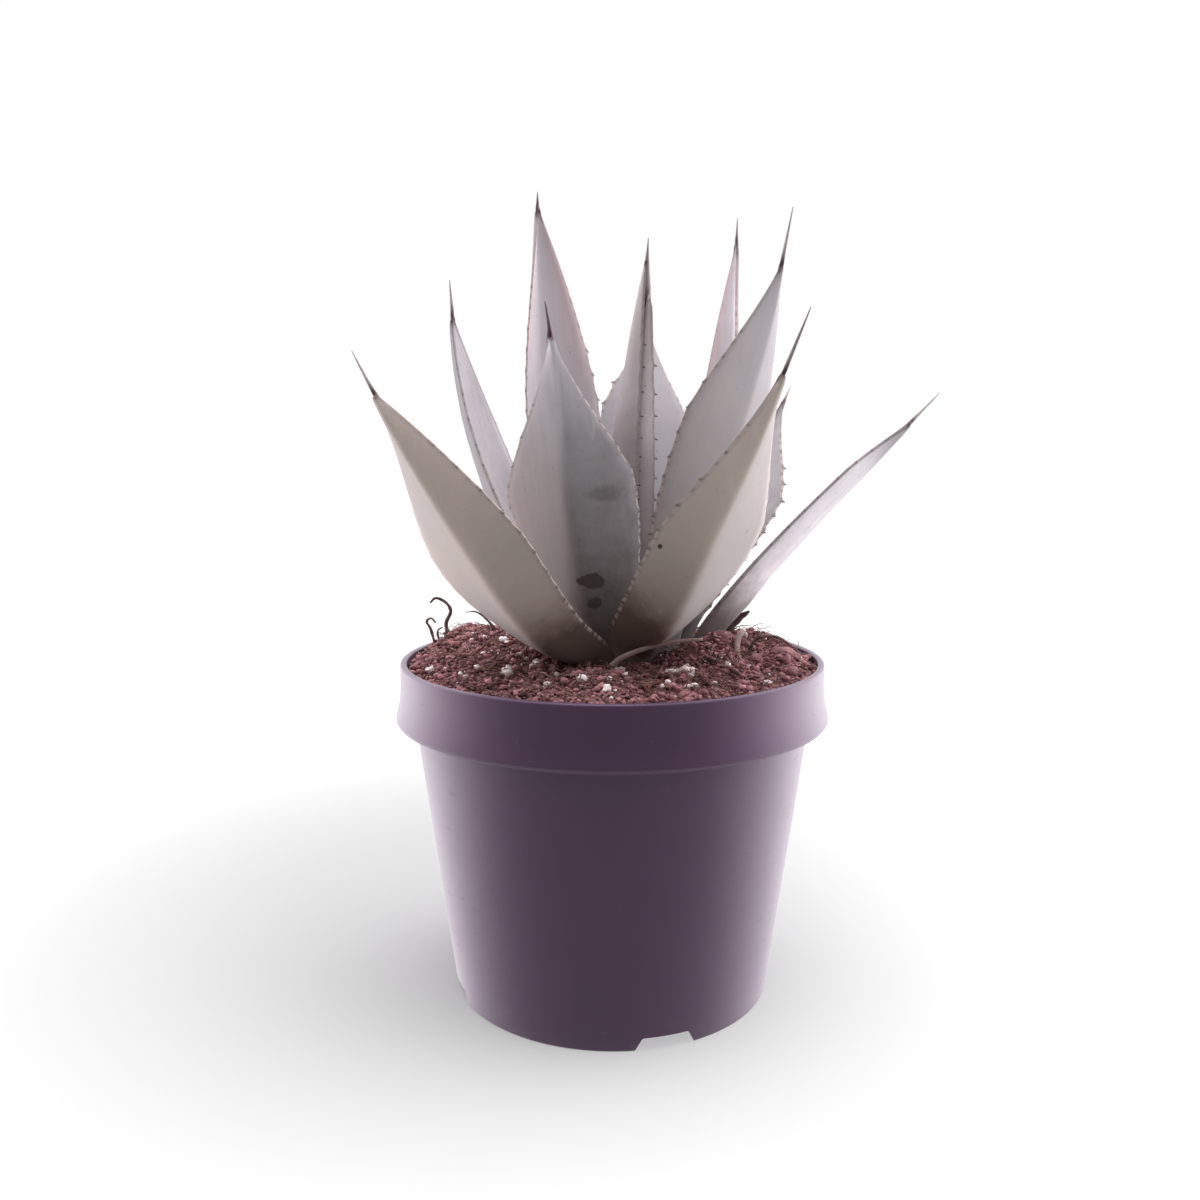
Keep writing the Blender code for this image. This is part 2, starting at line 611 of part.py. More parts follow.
def make_furled(name, leaf, group, mat):
    """One furled leaf of the bud: a shell with its margins apart, and its spine."""
    low = leaf["radii"][0][0]
    high = leaf["radii"][-1][0]
    start, end = leaf["opens"]
    spread = (start - end) % 360.0
    rows = FURLED_ROWS
    steps = FURLED_STEPS
    sections = []
    for row in range(rows):
        z = low + (high - low) * math.sin(0.5 * math.pi * row / (rows - 1))
        radius = furled_radius(leaf, z)
        thick = min(leaf["thick"], radius * 0.6)
        centre = bud_centre(leaf, z)
        outer = []
        inner = []
        for i in range(steps + 1):
            angle = math.radians(start - spread * i / steps)
            way = Vector((math.cos(angle), math.sin(angle), 0.0))
            edge = min(1.0, 4.0 * min(i, steps - i) / steps)
            wall = min(thick, EDGE_THICK + (thick - EDGE_THICK) * edge)
            outer.append(centre + way * radius)
            inner.append(centre + way * (radius - wall))
        sections.append(outer + inner[::-1])
    bm = bmesh.new()
    loft(bm, sections)
    obj = add_object(name, bm, group, mat)
    extras = new_collection(name + "_extras")
    for i, stop in enumerate(tooth_stops(high - low, FURLED_TOOTH_FIRST, TOOTH_LAST)):
        z = low + (high - low) * stop
        radius = furled_radius(leaf, z)
        for angle, side in ((start, 1.0), (end, -1.0)):
            turn = math.radians(angle)
            way = Vector((math.cos(turn), math.sin(turn), 0.0))
            past = Vector((-math.sin(turn), math.cos(turn), 0.0)) * side
            out = (past + way * 0.35).normalized()
            root = bud_centre(leaf, z) + way * (radius - 0.3)
            add_tooth("%s_tooth_%d_%.0f" % (name, i, angle), root, out, FURLED_TOOTH, extras)
    if leaf["spined"]:
        foot_z = high - 1.5
        radius = furled_radius(leaf, foot_z)
        bm = bmesh.new()
        rings = []
        for k in range(FURLED_SPINE_ROWS):
            share = k / (FURLED_SPINE_ROWS - 1)
            z = foot_z + (leaf["tip"][2] - foot_z) * share
            r = SPINE_POINT_R + (radius - 0.25 - SPINE_POINT_R) * (1.0 - share) ** 1.6
            rings.append(bud_ring(leaf, z, r, FURLED_SPINE_SIDES))
        loft(bm, rings)
        add_object(name + "_spine", bm, extras, None)
    fuse(obj, extras)
    keep_largest(obj)
    return obj


def make_bud_core(group, mat):
    """The youngest leaves, still one closed spear inside the furled ones."""
    middle = FURLED["bud_middle"]
    low = middle["foot"][2]
    rings = []
    for row in range(BUD_CORE_ROWS):
        rise = math.sin(0.5 * math.pi * row / (BUD_CORE_ROWS - 1))
        z = low + (BUD_CORE_TOP - low) * rise
        radius = max(SPINE_POINT_R, BUD_CORE_R * (1.0 - rise ** 4))
        rings.append(bud_ring(middle, z, radius, BUD_CORE_SIDES))
    bm = bmesh.new()
    loft(bm, rings)
    return add_object("bud_core", bm, group, mat)


def main():
    """Build the whole plant and its pot."""
    clear_scene()
    group = new_collection("potted_agave")
    leaf_mat = material("leaf", (0.46, 0.41, 0.41), 0.55)
    stem_mat = material("stem", (0.42, 0.34, 0.26), 0.8)
    pot_mat = material("pot", (0.08, 0.048, 0.084), 0.4)
    soil_mat = material("soil", (0.17, 0.078, 0.078), 0.95)
    make_pot(group, pot_mat)
    make_soil(group, soil_mat)
    make_stem("stem", 0.0, group, stem_mat)
    stem_cutters = new_collection("stem_cutters")
    hide_cutter(make_stem("stem_clearance", GAP, stem_cutters, None))
    for name, leaf in LEAVES.items():
        make_leaf(name, leaf, stem_cutters, group, leaf_mat)
    for name, leaf in FURLED.items():
        make_furled(name, leaf, group, leaf_mat)
    make_bud_core(group, leaf_mat)


main()
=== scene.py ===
"""A young agave in a nursery pot, dressed for its picture.

Every length below is in millimetres unless it says otherwise, and MM turns it to
metres. The pot stands on the ground plane, Z is up and the front faces -Y.
"""

import json
import math
import random

import bmesh
import bpy
from mathutils import Matrix, Vector, noise

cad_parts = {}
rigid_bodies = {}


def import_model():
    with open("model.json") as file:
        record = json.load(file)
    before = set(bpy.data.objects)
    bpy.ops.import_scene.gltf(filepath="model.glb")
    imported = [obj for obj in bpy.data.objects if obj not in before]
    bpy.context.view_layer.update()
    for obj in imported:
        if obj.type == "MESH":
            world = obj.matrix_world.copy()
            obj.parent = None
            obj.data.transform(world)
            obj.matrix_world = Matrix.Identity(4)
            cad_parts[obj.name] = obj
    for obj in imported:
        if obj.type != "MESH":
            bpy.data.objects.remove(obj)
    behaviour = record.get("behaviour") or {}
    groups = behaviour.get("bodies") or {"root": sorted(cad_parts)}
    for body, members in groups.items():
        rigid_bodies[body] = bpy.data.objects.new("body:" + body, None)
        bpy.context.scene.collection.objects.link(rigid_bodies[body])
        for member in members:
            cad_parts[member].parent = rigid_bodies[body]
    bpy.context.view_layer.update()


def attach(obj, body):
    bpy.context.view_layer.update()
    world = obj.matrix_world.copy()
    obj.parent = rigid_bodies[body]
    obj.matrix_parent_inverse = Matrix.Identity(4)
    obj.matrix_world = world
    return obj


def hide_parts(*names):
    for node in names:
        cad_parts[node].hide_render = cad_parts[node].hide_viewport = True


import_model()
MM = 0.001

# Camera
# It stands 36 cm in front of the pot and 18 cm above the floor, a little left of
# the middle, and looks 8 degrees down through a 33 mm lens.
CAMERA_PLACE = (-4.0, -363.0, 182.0)
CAMERA_DOWN = 8.06
CAMERA_LENS = 33.0

camera_data = bpy.data.cameras.new("camera")
camera_data.lens = CAMERA_LENS
camera_data.sensor_width = 36.0
camera_data.clip_start = 0.01
camera_data.dof.use_dof = False
camera = bpy.data.objects.new("camera", camera_data)
camera.location = Vector(CAMERA_PLACE) * MM
camera.rotation_euler = (math.radians(90.0 - CAMERA_DOWN), 0.0, 0.0)
bpy.context.scene.collection.objects.link(camera)
bpy.context.scene.camera = camera

# Pot
# A round nursery pot moulded in one piece from thin mauve-grey polypropylene. It has
# a wide collar with a rounded lip at its foot, a foot ring with four notches, a flat
# centre foot and eight drain holes.
POT_HEIGHT = 111.6
POT_TOP_R = 70.0
POT_BASE_R = 53.2
BODY_TOP_R = 65.3
COLLAR_FOOT_Z = 92.0
COLLAR_LIP_R = 71.8
COLLAR_WAIST_Z = 102.6
COLLAR_FLARE_Z = 96.5
COLLAR_FLARE = 0.9
POT_WALL = 1.8
RIM_ROUND = 0.8
LIP_ROUND = 1.2
INNER_TOP_R = POT_TOP_R - POT_WALL - 0.4
INNER_LEDGE_R = BODY_TOP_R - POT_WALL
INNER_BASE_R = POT_BASE_R - POT_WALL
LEDGE_Z = 94.0
FLOOR_Z = 4.6
FLOOR_TOP_Z = 6.2
CENTRE_FOOT_R = 9.0
POT_STEPS = 240
DRAIN_HOLES = 8
DRAIN_HOLE_R = 4.0
DRAIN_RING_R = 33.0
DRAIN_CUT_Z = 5.0
DRAIN_CUT_LONG = 8.0
NOTCHES = 4
NOTCH_TURN = 17.5
NOTCH_ROOF_WIDE = 15.4
NOTCH_SLOPE_WIDE = 24.0
NOTCH_TALL = 4.4
NOTCH_DEEP = 12.0
NOTCH_ROUND = 0.8
POT_MAUVE = (0.077, 0.0455, 0.084, 1.0)
POT_DEEP = (0.065, 0.037, 0.070, 1.0)
POT_DUST = (0.36, 0.31, 0.33, 1.0)


class Wire:
    """One output of a node. Sums and products of wires and numbers add Math nodes."""

    def __init__(self, maker, socket):
        self.maker = maker
        self.socket = socket

    def maths(self, operation, *values):
        return self.maker.node("ShaderNodeMath", {"operation": operation}, dict(enumerate(values)))

    def __add__(self, other):
        return self.maths("ADD", self, other)

    def __radd__(self, other):
        return self.maths("ADD", other, self)

    def __sub__(self, other):
        return self.maths("SUBTRACT", self, other)

    def __rsub__(self, other):
        return self.maths("SUBTRACT", other, self)

    def __mul__(self, other):
        return self.maths("MULTIPLY", self, other)

    def __rmul__(self, other):
        return self.maths("MULTIPLY", other, self)

    def __abs__(self):
        return self.maths("ABSOLUTE", self)

    def fract(self):
        return self.maths("FRACT", self)

    def largest(self, other):
        return self.maths("MAXIMUM", self, other)

    def ease(self, low, high):
        """0 at low and 1 at high, or falling where low is above high."""
        first, last = (0.0, 1.0) if low < high else (1.0, 0.0)
        span = {0: self, 1: min(low, high), 2: max(low, high), 3: first, 4: last}
        return self.maker.node("ShaderNodeMapRange", {"interpolation_type": "SMOOTHSTEP"}, span)


class Nodes:
    """A tree of shader nodes in the making."""

    def __init__(self, tree):
        self.tree = tree

    def node(self, kind, settings, inputs, output=0):
        """Add a node: its settings first, then what goes into its sockets."""
        made = self.tree.nodes.new(kind)
        for setting, value in settings.items():
            setattr(made, setting, value)
        for key, value in inputs.items():
            if isinstance(value, Wire):
                self.tree.links.new(value.socket, made.inputs[key])
            else:
                made.inputs[key].default_value = value
        return Wire(self, made.outputs[output]) if made.outputs else None

    def vectors(self, operation, *values):
        """Vector Math on whole vectors or colours."""
        return self.node("ShaderNodeVectorMath", {"operation": operation}, dict(enumerate(values)))

    def length(self, vector):
        return self.node("ShaderNodeVectorMath", {"operation": "LENGTH"}, {0: vector}, "Value")

    def part(self, vector, axis):
        """One of a vector's numbers: X, Y or Z."""
        return self.node("ShaderNodeSeparateXYZ", {}, {0: vector}, axis)


class Finish(Nodes):
    """A material in the making, round one Principled shader."""

    def __init__(self, name, **constants):
        self.material = bpy.data.materials.new(name)
        self.material.use_nodes = True
        super().__init__(self.material.node_tree)
        self.shader = self.tree.nodes["Principled BSDF"]
        for socket, value in constants.items():
            self.shader.inputs[socket.replace("_", " ")].default_value = value
        self.here = self.node("ShaderNodeTexCoord", {}, {}, "Object")

    def mark(self, name):
        """A number that the mesh carries on its points."""
        return self.node("ShaderNodeAttribute", {"attribute_name": name}, {}, "Fac")

    def stretched(self, factors):
        """Object coordinates, each multiplied by its factor."""
        return self.vectors("MULTIPLY", self.here, factors)

    def grain(self, scale, detail=2.0, roughness=0.5, where=None):
        """Noise from 0 to 1, scale times a metre."""
        inputs = {"Vector": where or self.here, "Scale": scale, "Detail": detail, "Roughness": roughness}
        return self.node("ShaderNodeTexNoise", {}, inputs)

    def mix(self, share, first, second):
        """The first colour where share is 0 and the second where it is 1."""
        return self.node("ShaderNodeMix", {"data_type": "RGBA"}, {0: share, 6: first, 7: second}, 2)

    def shade(self, colour, share):
        """A colour multiplied by a number."""
        return self.node("ShaderNodeVectorMath", {"operation": "SCALE"}, {0: colour, 3: share})

    def bump(self, height, strength, distance):
        """Raise the surface by height, at most distance in millimetres."""
        inputs = {"Height": height, "Strength": strength, "Distance": distance * MM}
        self.feed("Normal", self.node("ShaderNodeBump", {}, inputs))

    def feed(self, socket, wire):
        self.tree.links.new(wire.socket, self.shader.inputs[socket])


def into_mesh(name, bm):
    """Turn a bmesh into a mesh."""
    mesh = bpy.data.meshes.new(name)
    bm.to_mesh(mesh)
    bm.free()
    return mesh


def into_scene(name, bm, material, crease):
    """Turn a bmesh into a piece of the plant, its edges sharp above a crease in degrees."""
    mesh = into_mesh(name, bm)
    piece = bpy.data.objects.new(name, mesh)
    bpy.context.scene.collection.objects.link(piece)
    mesh.materials.append(material)
    mesh.shade_smooth()
    mesh.set_sharp_from_angle(angle=math.radians(crease))
    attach(piece, "root")
    return piece


pot_section = [
    (0.0, 0.0, 0.0),
    (CENTRE_FOOT_R, 0.0, 0.0),
    (CENTRE_FOOT_R + 0.6, FLOOR_Z, 0.0),
    (INNER_BASE_R, FLOOR_Z, 0.0),
    (INNER_BASE_R, 0.0, 0.4),
    (POT_BASE_R, 0.0, 0.9),
    (POT_BASE_R + 0.4, 4.0, 0.0),
    (BODY_TOP_R, COLLAR_FOOT_Z - 1.0, 0.9),
    (COLLAR_LIP_R - 1.4, COLLAR_FOOT_Z - 0.1, 0.7),
    (COLLAR_LIP_R, COLLAR_FOOT_Z + LIP_ROUND, 0.7),
    (POT_TOP_R + COLLAR_FLARE, COLLAR_FLARE_Z, 2.5),
    (POT_TOP_R, COLLAR_WAIST_Z, 3.5),
    (POT_TOP_R, POT_HEIGHT, RIM_ROUND),
    (INNER_TOP_R, POT_HEIGHT, 0.7),
    (INNER_TOP_R - 0.4, LEDGE_Z, 0.8),
    (INNER_LEDGE_R, LEDGE_Z - 1.4, 0.8),
    (INNER_BASE_R, FLOOR_TOP_Z, 1.4),
    (0.0, FLOOR_TOP_Z, 0.0),
]
bm = bmesh.new()
corners = [bm.verts.new((r * MM, 0.0, z * MM)) for r, z, rounding in pot_section]
for first, second in zip(corners, corners[1:]):
    bm.edges.new((first, second))
for corner, (r, z, rounding) in zip(corners, pot_section):
    if rounding > 0.0:
        bmesh.ops.bevel(
            bm, geom=[corner], offset=rounding * MM, offset_type="OFFSET", segments=5, profile=0.5,
            affect="VERTICES", clamp_overlap=True, material=-1)
bmesh.ops.spin(
    bm, geom=bm.verts[:] + bm.edges[:], cent=(0.0, 0.0, 0.0), axis=(0.0, 0.0, 1.0),
    angle=2.0 * math.pi, steps=POT_STEPS, use_merge=True)
bmesh.ops.remove_doubles(bm, verts=bm.verts, dist=0.000002)
bmesh.ops.recalc_face_normals(bm, faces=bm.faces)

plastic = Finish("pot_plastic", Specular_IOR_Level=0.62, Specular_Tint=(1.0, 0.72, 1.0, 1.0))
clouds = plastic.grain(28.0, 4.0)
flow = plastic.grain(60.0, 3.0, 0.6, plastic.stretched((1.0, 1.0, 0.12)))
scuffs = plastic.grain(900.0, 3.0, 0.7, plastic.stretched((0.15, 0.15, 1.0))).ease(0.62, 0.72)
height = plastic.part(plastic.here, "Z")
splashes = plastic.grain(140.0, 4.0, 0.65)
dust = height.ease(0.012, 0.0) * splashes.ease(0.48, 0.75) * 0.10
dust = dust + plastic.grain(420.0, 2.0).ease(0.70, 0.78) * 0.05
mauve = plastic.mix(clouds * 0.6 + flow * 0.4, POT_DEEP, POT_MAUVE)
plastic.feed("Base Color", plastic.mix(dust, mauve, POT_DUST))
plastic.feed("Roughness", 0.40 + clouds * 0.08 + scuffs * 0.12 + dust * 0.5)
plastic.bump(plastic.grain(1500.0, 2.0) * 0.5 + scuffs * 0.2, 0.35, 0.05)

pot = into_scene("pot_shell", bm, plastic.material, crease=50.0)
cutters = bpy.data.collections.new("pot_cutters")
for i in range(DRAIN_HOLES):
    turn = math.radians((i + 0.5) * 360.0 / DRAIN_HOLES)
    bm = bmesh.new()
    place = Matrix.Rotation(turn, 4, "Z") @ Matrix.Translation((DRAIN_RING_R * MM, 0.0, DRAIN_CUT_Z * MM))
    bmesh.ops.create_cone(
        bm, cap_ends=True, segments=40, radius1=DRAIN_HOLE_R * MM, radius2=DRAIN_HOLE_R * MM,
        depth=DRAIN_CUT_LONG * MM, matrix=place)
    cutters.objects.link(bpy.data.objects.new("drain", into_mesh("drain", bm)))
for i in range(NOTCHES):
    turn = math.radians(NOTCH_TURN - 90.0 + i * 360.0 / NOTCHES)
    bm = bmesh.new()
    bmesh.ops.create_cube(bm, size=1.0)
    for v in bm.verts:
        wide = NOTCH_ROOF_WIDE if v.co.z > 0.0 else NOTCH_SLOPE_WIDE
        z = NOTCH_TALL if v.co.z > 0.0 else -NOTCH_TALL
        v.co = Vector(((POT_BASE_R + v.co.x * NOTCH_DEEP) * MM, v.co.y * wide * MM, z * MM))
    bmesh.ops.bevel(
        bm, geom=[e for e in bm.edges if min(v.co.z for v in e.verts) > 0.0], offset=NOTCH_ROUND * MM,
        offset_type="OFFSET", segments=4, profile=0.5, affect="EDGES", clamp_overlap=True, material=-1)
    bmesh.ops.rotate(bm, verts=bm.verts, cent=(0.0, 0.0, 0.0), matrix=Matrix.Rotation(turn, 3, "Z"))
    cutters.objects.link(bpy.data.objects.new("notch", into_mesh("notch", bm)))
bpy.context.scene.collection.children.link(cutters)
tool = pot.modifiers.new("cut", "BOOLEAN")
tool.operation = "DIFFERENCE"
tool.operand_type = "COLLECTION"
tool.collection = cutters
tool.solver = "EXACT"
graph = bpy.context.evaluated_depsgraph_get()
cut_mesh = bpy.data.meshes.new_from_object(pot.evaluated_get(graph))
pot.modifiers.clear()
pot.data = cut_mesh
for obj in list(cutters.objects):
    bpy.data.objects.remove(obj)
bpy.data.collections.remove(cutters)
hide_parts("pot")

# Soil
# Damp maroon peat, mounded a little at the rosette and heaped at the left, the right
# and in front of the right leaf. The body is one closed mound, and loose crumbs,
# fibres, perlite, dry roots and bark lie on it.
ROSETTE_X = 6.2
ROSETTE_Y = 0.0
SOIL_RIM_Z = 109.6
SOIL_CROWN_Z = 113.5
SOIL_CROWN_R = 33.0
SOIL_LUMPS = 1.6
SOIL_UNDER_Z = 90.0
SOIL_RIM_R = INNER_TOP_R - 0.8
SOIL_RINGS = 110
SOIL_STEPS = 300
HEAPS = ((-52.0, 26.0, 6.0, 18.0), (47.0, 12.0, 4.5, 18.0), (28.0, -21.0, 4.5, 13.0))
PEAT_DARK = (0.060, 0.026, 0.028, 1.0)
PEAT_BROWN = (0.480, 0.215, 0.232, 1.0)
PEAT_PALE = (0.560, 0.350, 0.330, 1.0)

dice = random.Random(1447)


def soil_height(x, y):
    """Height of the mound at a place."""
    from_axis = math.hypot(x, y)
    share = min(1.0, max(0.0, (SOIL_RIM_R - from_axis) / (SOIL_RIM_R - SOIL_CROWN_R)))
    rise = math.sin(0.5 * math.pi * share)
    mound = SOIL_RIM_Z + (SOIL_CROWN_Z - SOIL_RIM_Z) * rise
    heap = sum(
        tall * math.exp(-((x - hx) ** 2 + (y - hy) ** 2) / wide ** 2) for hx, hy, tall, wide in HEAPS)
    lump = noise.noise(Vector((x * 0.11, y * 0.11, 3.7)))
    lump += 0.5 * noise.noise(Vector((x * 0.3, y * 0.3, 9.1)))
    return mound + heap * min(1.0, 0.4 + 2.0 * rise) + SOIL_LUMPS * lump


def on_mound(x, y, above):
    """The place that far above the mound, in metres."""
    return Vector((x, y, soil_height(x, y) + above)) * MM


def anywhere(reach, least):
    """A random place on the mound, as its radius and turn, least being a share of the area."""
    return reach * math.sqrt(dice.uniform(least, 1.0)), dice.uniform(0.0, 2.0 * math.pi)


def tumbled(lean):
    """A random turn about Z after a random lean."""
    turn = Matrix.Rotation(dice.uniform(0.0, 6.28), 4, "Z")
    return turn @ Matrix.Rotation(dice.uniform(-lean, lean), 4, "X")


def with_marks(*names):
    """A new bmesh whose points carry numbers for a material."""
    bm = bmesh.new()
    for name in names:
        bm.verts.layers.float.new(name)
    return bm


def strew(bm, shape, place, **marks):
    """Add a copy of a small shape to a heap of them, with numbers marked on its points."""
    for mark, value in marks.items():
        shape.attributes[mark].data.foreach_set("value", [value] * len(shape.vertices))
    shape.transform(place)
    bm.from_mesh(shape)
    shape.transform(place.inverted())


def lump_shape(name, fineness, rough, seed, squash=(1.0, 1.0, 1.0)):
    """A small rough lump of radius 1, to be strewn."""
    bm = with_marks("tint")
    bmesh.ops.create_icosphere(bm, subdivisions=fineness, radius=1.0)
    for v in bm.verts:
        swell = 1.0 + rough * noise.noise(v.co * 1.4 + Vector((seed * 7.3, 0.0, 0.0)))
        swell += 0.4 * rough * noise.noise(v.co * 3.5 + Vector((0.0, seed * 5.1, 0.0)))
        v.co = Vector((v.co.x * squash[0], v.co.y * squash[1], v.co.z * squash[2])) * swell
    return into_mesh(name, bm)


def skin(bm, rings, marks=None, unit=MM):
    """A closed skin through rings of as many points each, with marks on its points."""
    around = len(rings[0])
    layers = bm.verts.layers.float.values()
    made = bmesh.ops.create_grid(bm, x_segments=around, y_segments=len(rings) - 1, size=1.0)["verts"]
    for number, v in enumerate(made):
        row, column = divmod(number, around + 1)
        v.co = rings[row][column % around] * unit
        for layer, value in zip(layers, marks[row][column % around] if marks else ()):
            v[layer] = value
    bmesh.ops.remove_doubles(bm, verts=made, dist=0.0005 * unit)
    rims = list({edge for v in made if v.is_valid for edge in v.link_edges if edge.is_boundary})
    bmesh.ops.holes_fill(bm, edges=rims, sides=0)


def turns_round(count):
    """Evenly spaced angles of a full turn."""
    return [2.0 * math.pi * k / count for k in range(count)]


def path_rings(path, radii, sides, flat=1.0):
    """Rings of points round a path, each with its radius, flattened across by flat."""
    rings = []
    side = Vector((0.0, 0.0, 1.0))
    for i, (point, radius) in enumerate(zip(path, radii)):
        ahead = (path[min(i + 1, len(path) - 1)] - path[max(i - 1, 0)]).normalized()
        side = (side - ahead * side.dot(ahead)).normalized()
        up = ahead.cross(side)
        rings.append([
            point + side * (radius * math.cos(turn)) + up * (radius * flat * math.sin(turn))
            for turn in turns_round(sides)])
    return rings


def smooth_path(points, steps):
    """A smooth path through points, in mm."""
    path = []
    points = [Vector(point) for point in points]
    ends = [points[0] * 2.0 - points[1]] + points + [points[-1] * 2.0 - points[-2]]
    for i in range(1, len(ends) - 2):
        a, b, c, d = ends[i - 1:i + 3]
        for k in range(steps):
            t = k / steps
            bend = (2.0 * a - 5.0 * b + 4.0 * c - d) * t + (3.0 * b - a - 3.0 * c + d) * t * t
            path.append(b + 0.5 * t * ((c - a) + bend))
    path.append(points[-1])
    return path


# The mound's own body, from its rim over the crown and closed underneath
bm = bmesh.new()
made = bmesh.ops.create_grid(bm, x_segments=SOIL_STEPS, y_segments=SOIL_RINGS + 2, size=1.0)["verts"]
for number, v in enumerate(made):
    row, column = divmod(number, SOIL_STEPS + 1)
    turn = 2.0 * math.pi * (column % SOIL_STEPS) / SOIL_STEPS
    if row > 1:
        r = (INNER_TOP_R - 0.1) * (1.0 - (row - 2) / SOIL_RINGS)
        x = r * math.cos(turn)
        y = r * math.sin(turn)
        crumble = noise.noise(Vector((x * 0.6, y * 0.6, 1.3)))
        crumble += 0.7 * noise.noise(Vector((x * 1.7, y * 1.7, 5.3)))
        v.co = on_mound(x, y, crumble - 0.6)
    else:
        r = (INNER_LEDGE_R - 1.0) * row
        v.co = Vector((r * math.cos(turn), r * math.sin(turn), SOIL_UNDER_Z)) * MM
bmesh.ops.remove_doubles(bm, verts=bm.verts, dist=0.000001)
bmesh.ops.recalc_face_normals(bm, faces=bm.faces)


def peat_finish(name, tinted):
    """Damp peat: maroon to brown by crumb, with paler fibre and a little wet gloss."""
    peat = Finish(name, Specular_IOR_Level=0.35)
    coarse = peat.grain(260.0, 5.0, 0.65)
    fine = peat.grain(1500.0, 4.0, 0.7)
    share = (coarse.ease(0.40, 0.66) + fine.ease(0.3, 0.7) * 0.5) * 0.75
    if tinted:
        share = share * 0.45 + peat.mark("tint").ease(0.1, 0.9) * 0.85 - 0.06
    body = peat.mix(share, PEAT_DARK, PEAT_BROWN)
    threads = peat.grain(700.0, 3.0, 0.6, peat.stretched((1.0, 0.3, 1.0))).ease(0.60, 0.72)
    peat.feed("Base Color", peat.mix(threads * 0.45, body, PEAT_PALE))
    peat.feed("Roughness", 0.98 - coarse * 0.25)
    peat.bump(coarse * 0.5 + fine * 0.6, 0.8, 0.5)
    return peat.material


soil_body = into_scene("soil_body", bm, peat_finish("peat_mound", False), crease=180.0)
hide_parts("soil")

# Loose crumbs
# Lumps of the same peat lie on the mound, from half a millimetre to nearly four across.
# Few are large.
CRUMBS = 7600
CRUMB_KINDS = 7
CRUMB_LEAST_R = 0.25
CRUMB_USUAL_R = 0.50
CRUMB_LARGE_R = 1.1

crumb_shapes = [lump_shape("crumb_%d" % i, 1, 0.9, i, (1.0, 0.8, 0.65)) for i in range(CRUMB_KINDS)]
bm = with_marks("tint")
for i in range(CRUMBS):
    r, turn = anywhere(SOIL_RIM_R + 0.3, 0.09)
    size = CRUMB_LEAST_R + CRUMB_USUAL_R * dice.random() + CRUMB_LARGE_R * dice.random() ** 7
    r = min(r, INNER_TOP_R - size * 0.9)
    spot = on_mound(r * math.cos(turn), r * math.sin(turn), size * dice.uniform(-0.3, 0.55))
    place = Matrix.Translation(spot) @ tumbled(0.7) @ Matrix.Scale(size * MM, 4)
    strew(bm, crumb_shapes[i % CRUMB_KINDS], place, tint=dice.random())
crumbs = into_scene("soil_crumbs", bm, peat_finish("peat_crumbs", True), crease=180.0)
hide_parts("soil")

# Peat fibres
# Thin dry threads of moss and root, brown to straw, mostly lying down. Their radii are
# shares of their length.
FIBRES = 2600
FIBRE_KINDS = 8
FIBRE_RADII = (0.012, 0.017, 0.018, 0.018, 0.016, 0.012, 0.004)
FIBRE_SHORT = 2.5
FIBRE_LONG = 7.0
FIBRE_LONGER = 6.0
FIBRE_DARK = (0.10, 0.045, 0.038, 1.0)
FIBRE_BROWN = (0.26, 0.135, 0.105, 1.0)
FIBRE_STRAW = (0.52, 0.40, 0.34, 1.0)
FIBRE_DIRT = (0.12, 0.05, 0.04, 1.0)

fibre_shapes = []
for i in range(FIBRE_KINDS):
    bend = [Vector((k / 6.0, 0.0, 0.0)) for k in range(len(FIBRE_RADII))]
    for k, point in enumerate(bend):
        point.y = 0.22 * noise.noise(Vector((k * 0.45, i * 3.1, 0.0)))
        point.z = 0.16 * noise.noise(Vector((k * 0.45, i * 3.1, 8.0)))
    bm = with_marks("tint")
    skin(bm, path_rings(bend, FIBRE_RADII, 3), unit=1.0)
    fibre_shapes.append(into_mesh("fibre_%d" % i, bm))
bm = with_marks("tint")
for i in range(FIBRES):
    r, turn = anywhere(SOIL_RIM_R - 2.0, 0.12)
    long = dice.uniform(FIBRE_SHORT, FIBRE_LONG) + FIBRE_LONGER * dice.random() ** 5
    spot = on_mound(r * math.cos(turn), r * math.sin(turn), dice.uniform(0.0, 1.3))
    lean = Matrix.Rotation(dice.gauss(0.0, 0.24), 4, "Y")
    way = Matrix.Rotation(dice.uniform(0.0, 6.28), 4, "Z")
    place = Matrix.Translation(spot) @ way @ lean @ Matrix.Scale(long * MM, 4)
    end = place @ Vector((1.0, 0.0, 0.0))
    if math.hypot(end.x, end.y) < (SOIL_RIM_R - 1.0) * MM:
        strew(bm, fibre_shapes[i % FIBRE_KINDS], place, tint=dice.random())
straw = Finish("peat_fibre", Specular_IOR_Level=0.3)
tint = straw.mark("tint")
dull = straw.mix(tint.ease(0.0, 0.7), FIBRE_DARK, FIBRE_BROWN)
dull = straw.mix(tint.ease(0.86, 0.98), dull, FIBRE_STRAW)
straw.feed("Base Color", straw.mix(straw.grain(500.0, 3.0) * 0.5, dull, FIBRE_DIRT))
straw.feed("Roughness", 0.7 + straw.grain(900.0) * 0.25)
fibres = into_scene("soil_fibres", bm, straw.material, crease=180.0)
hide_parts("soil")

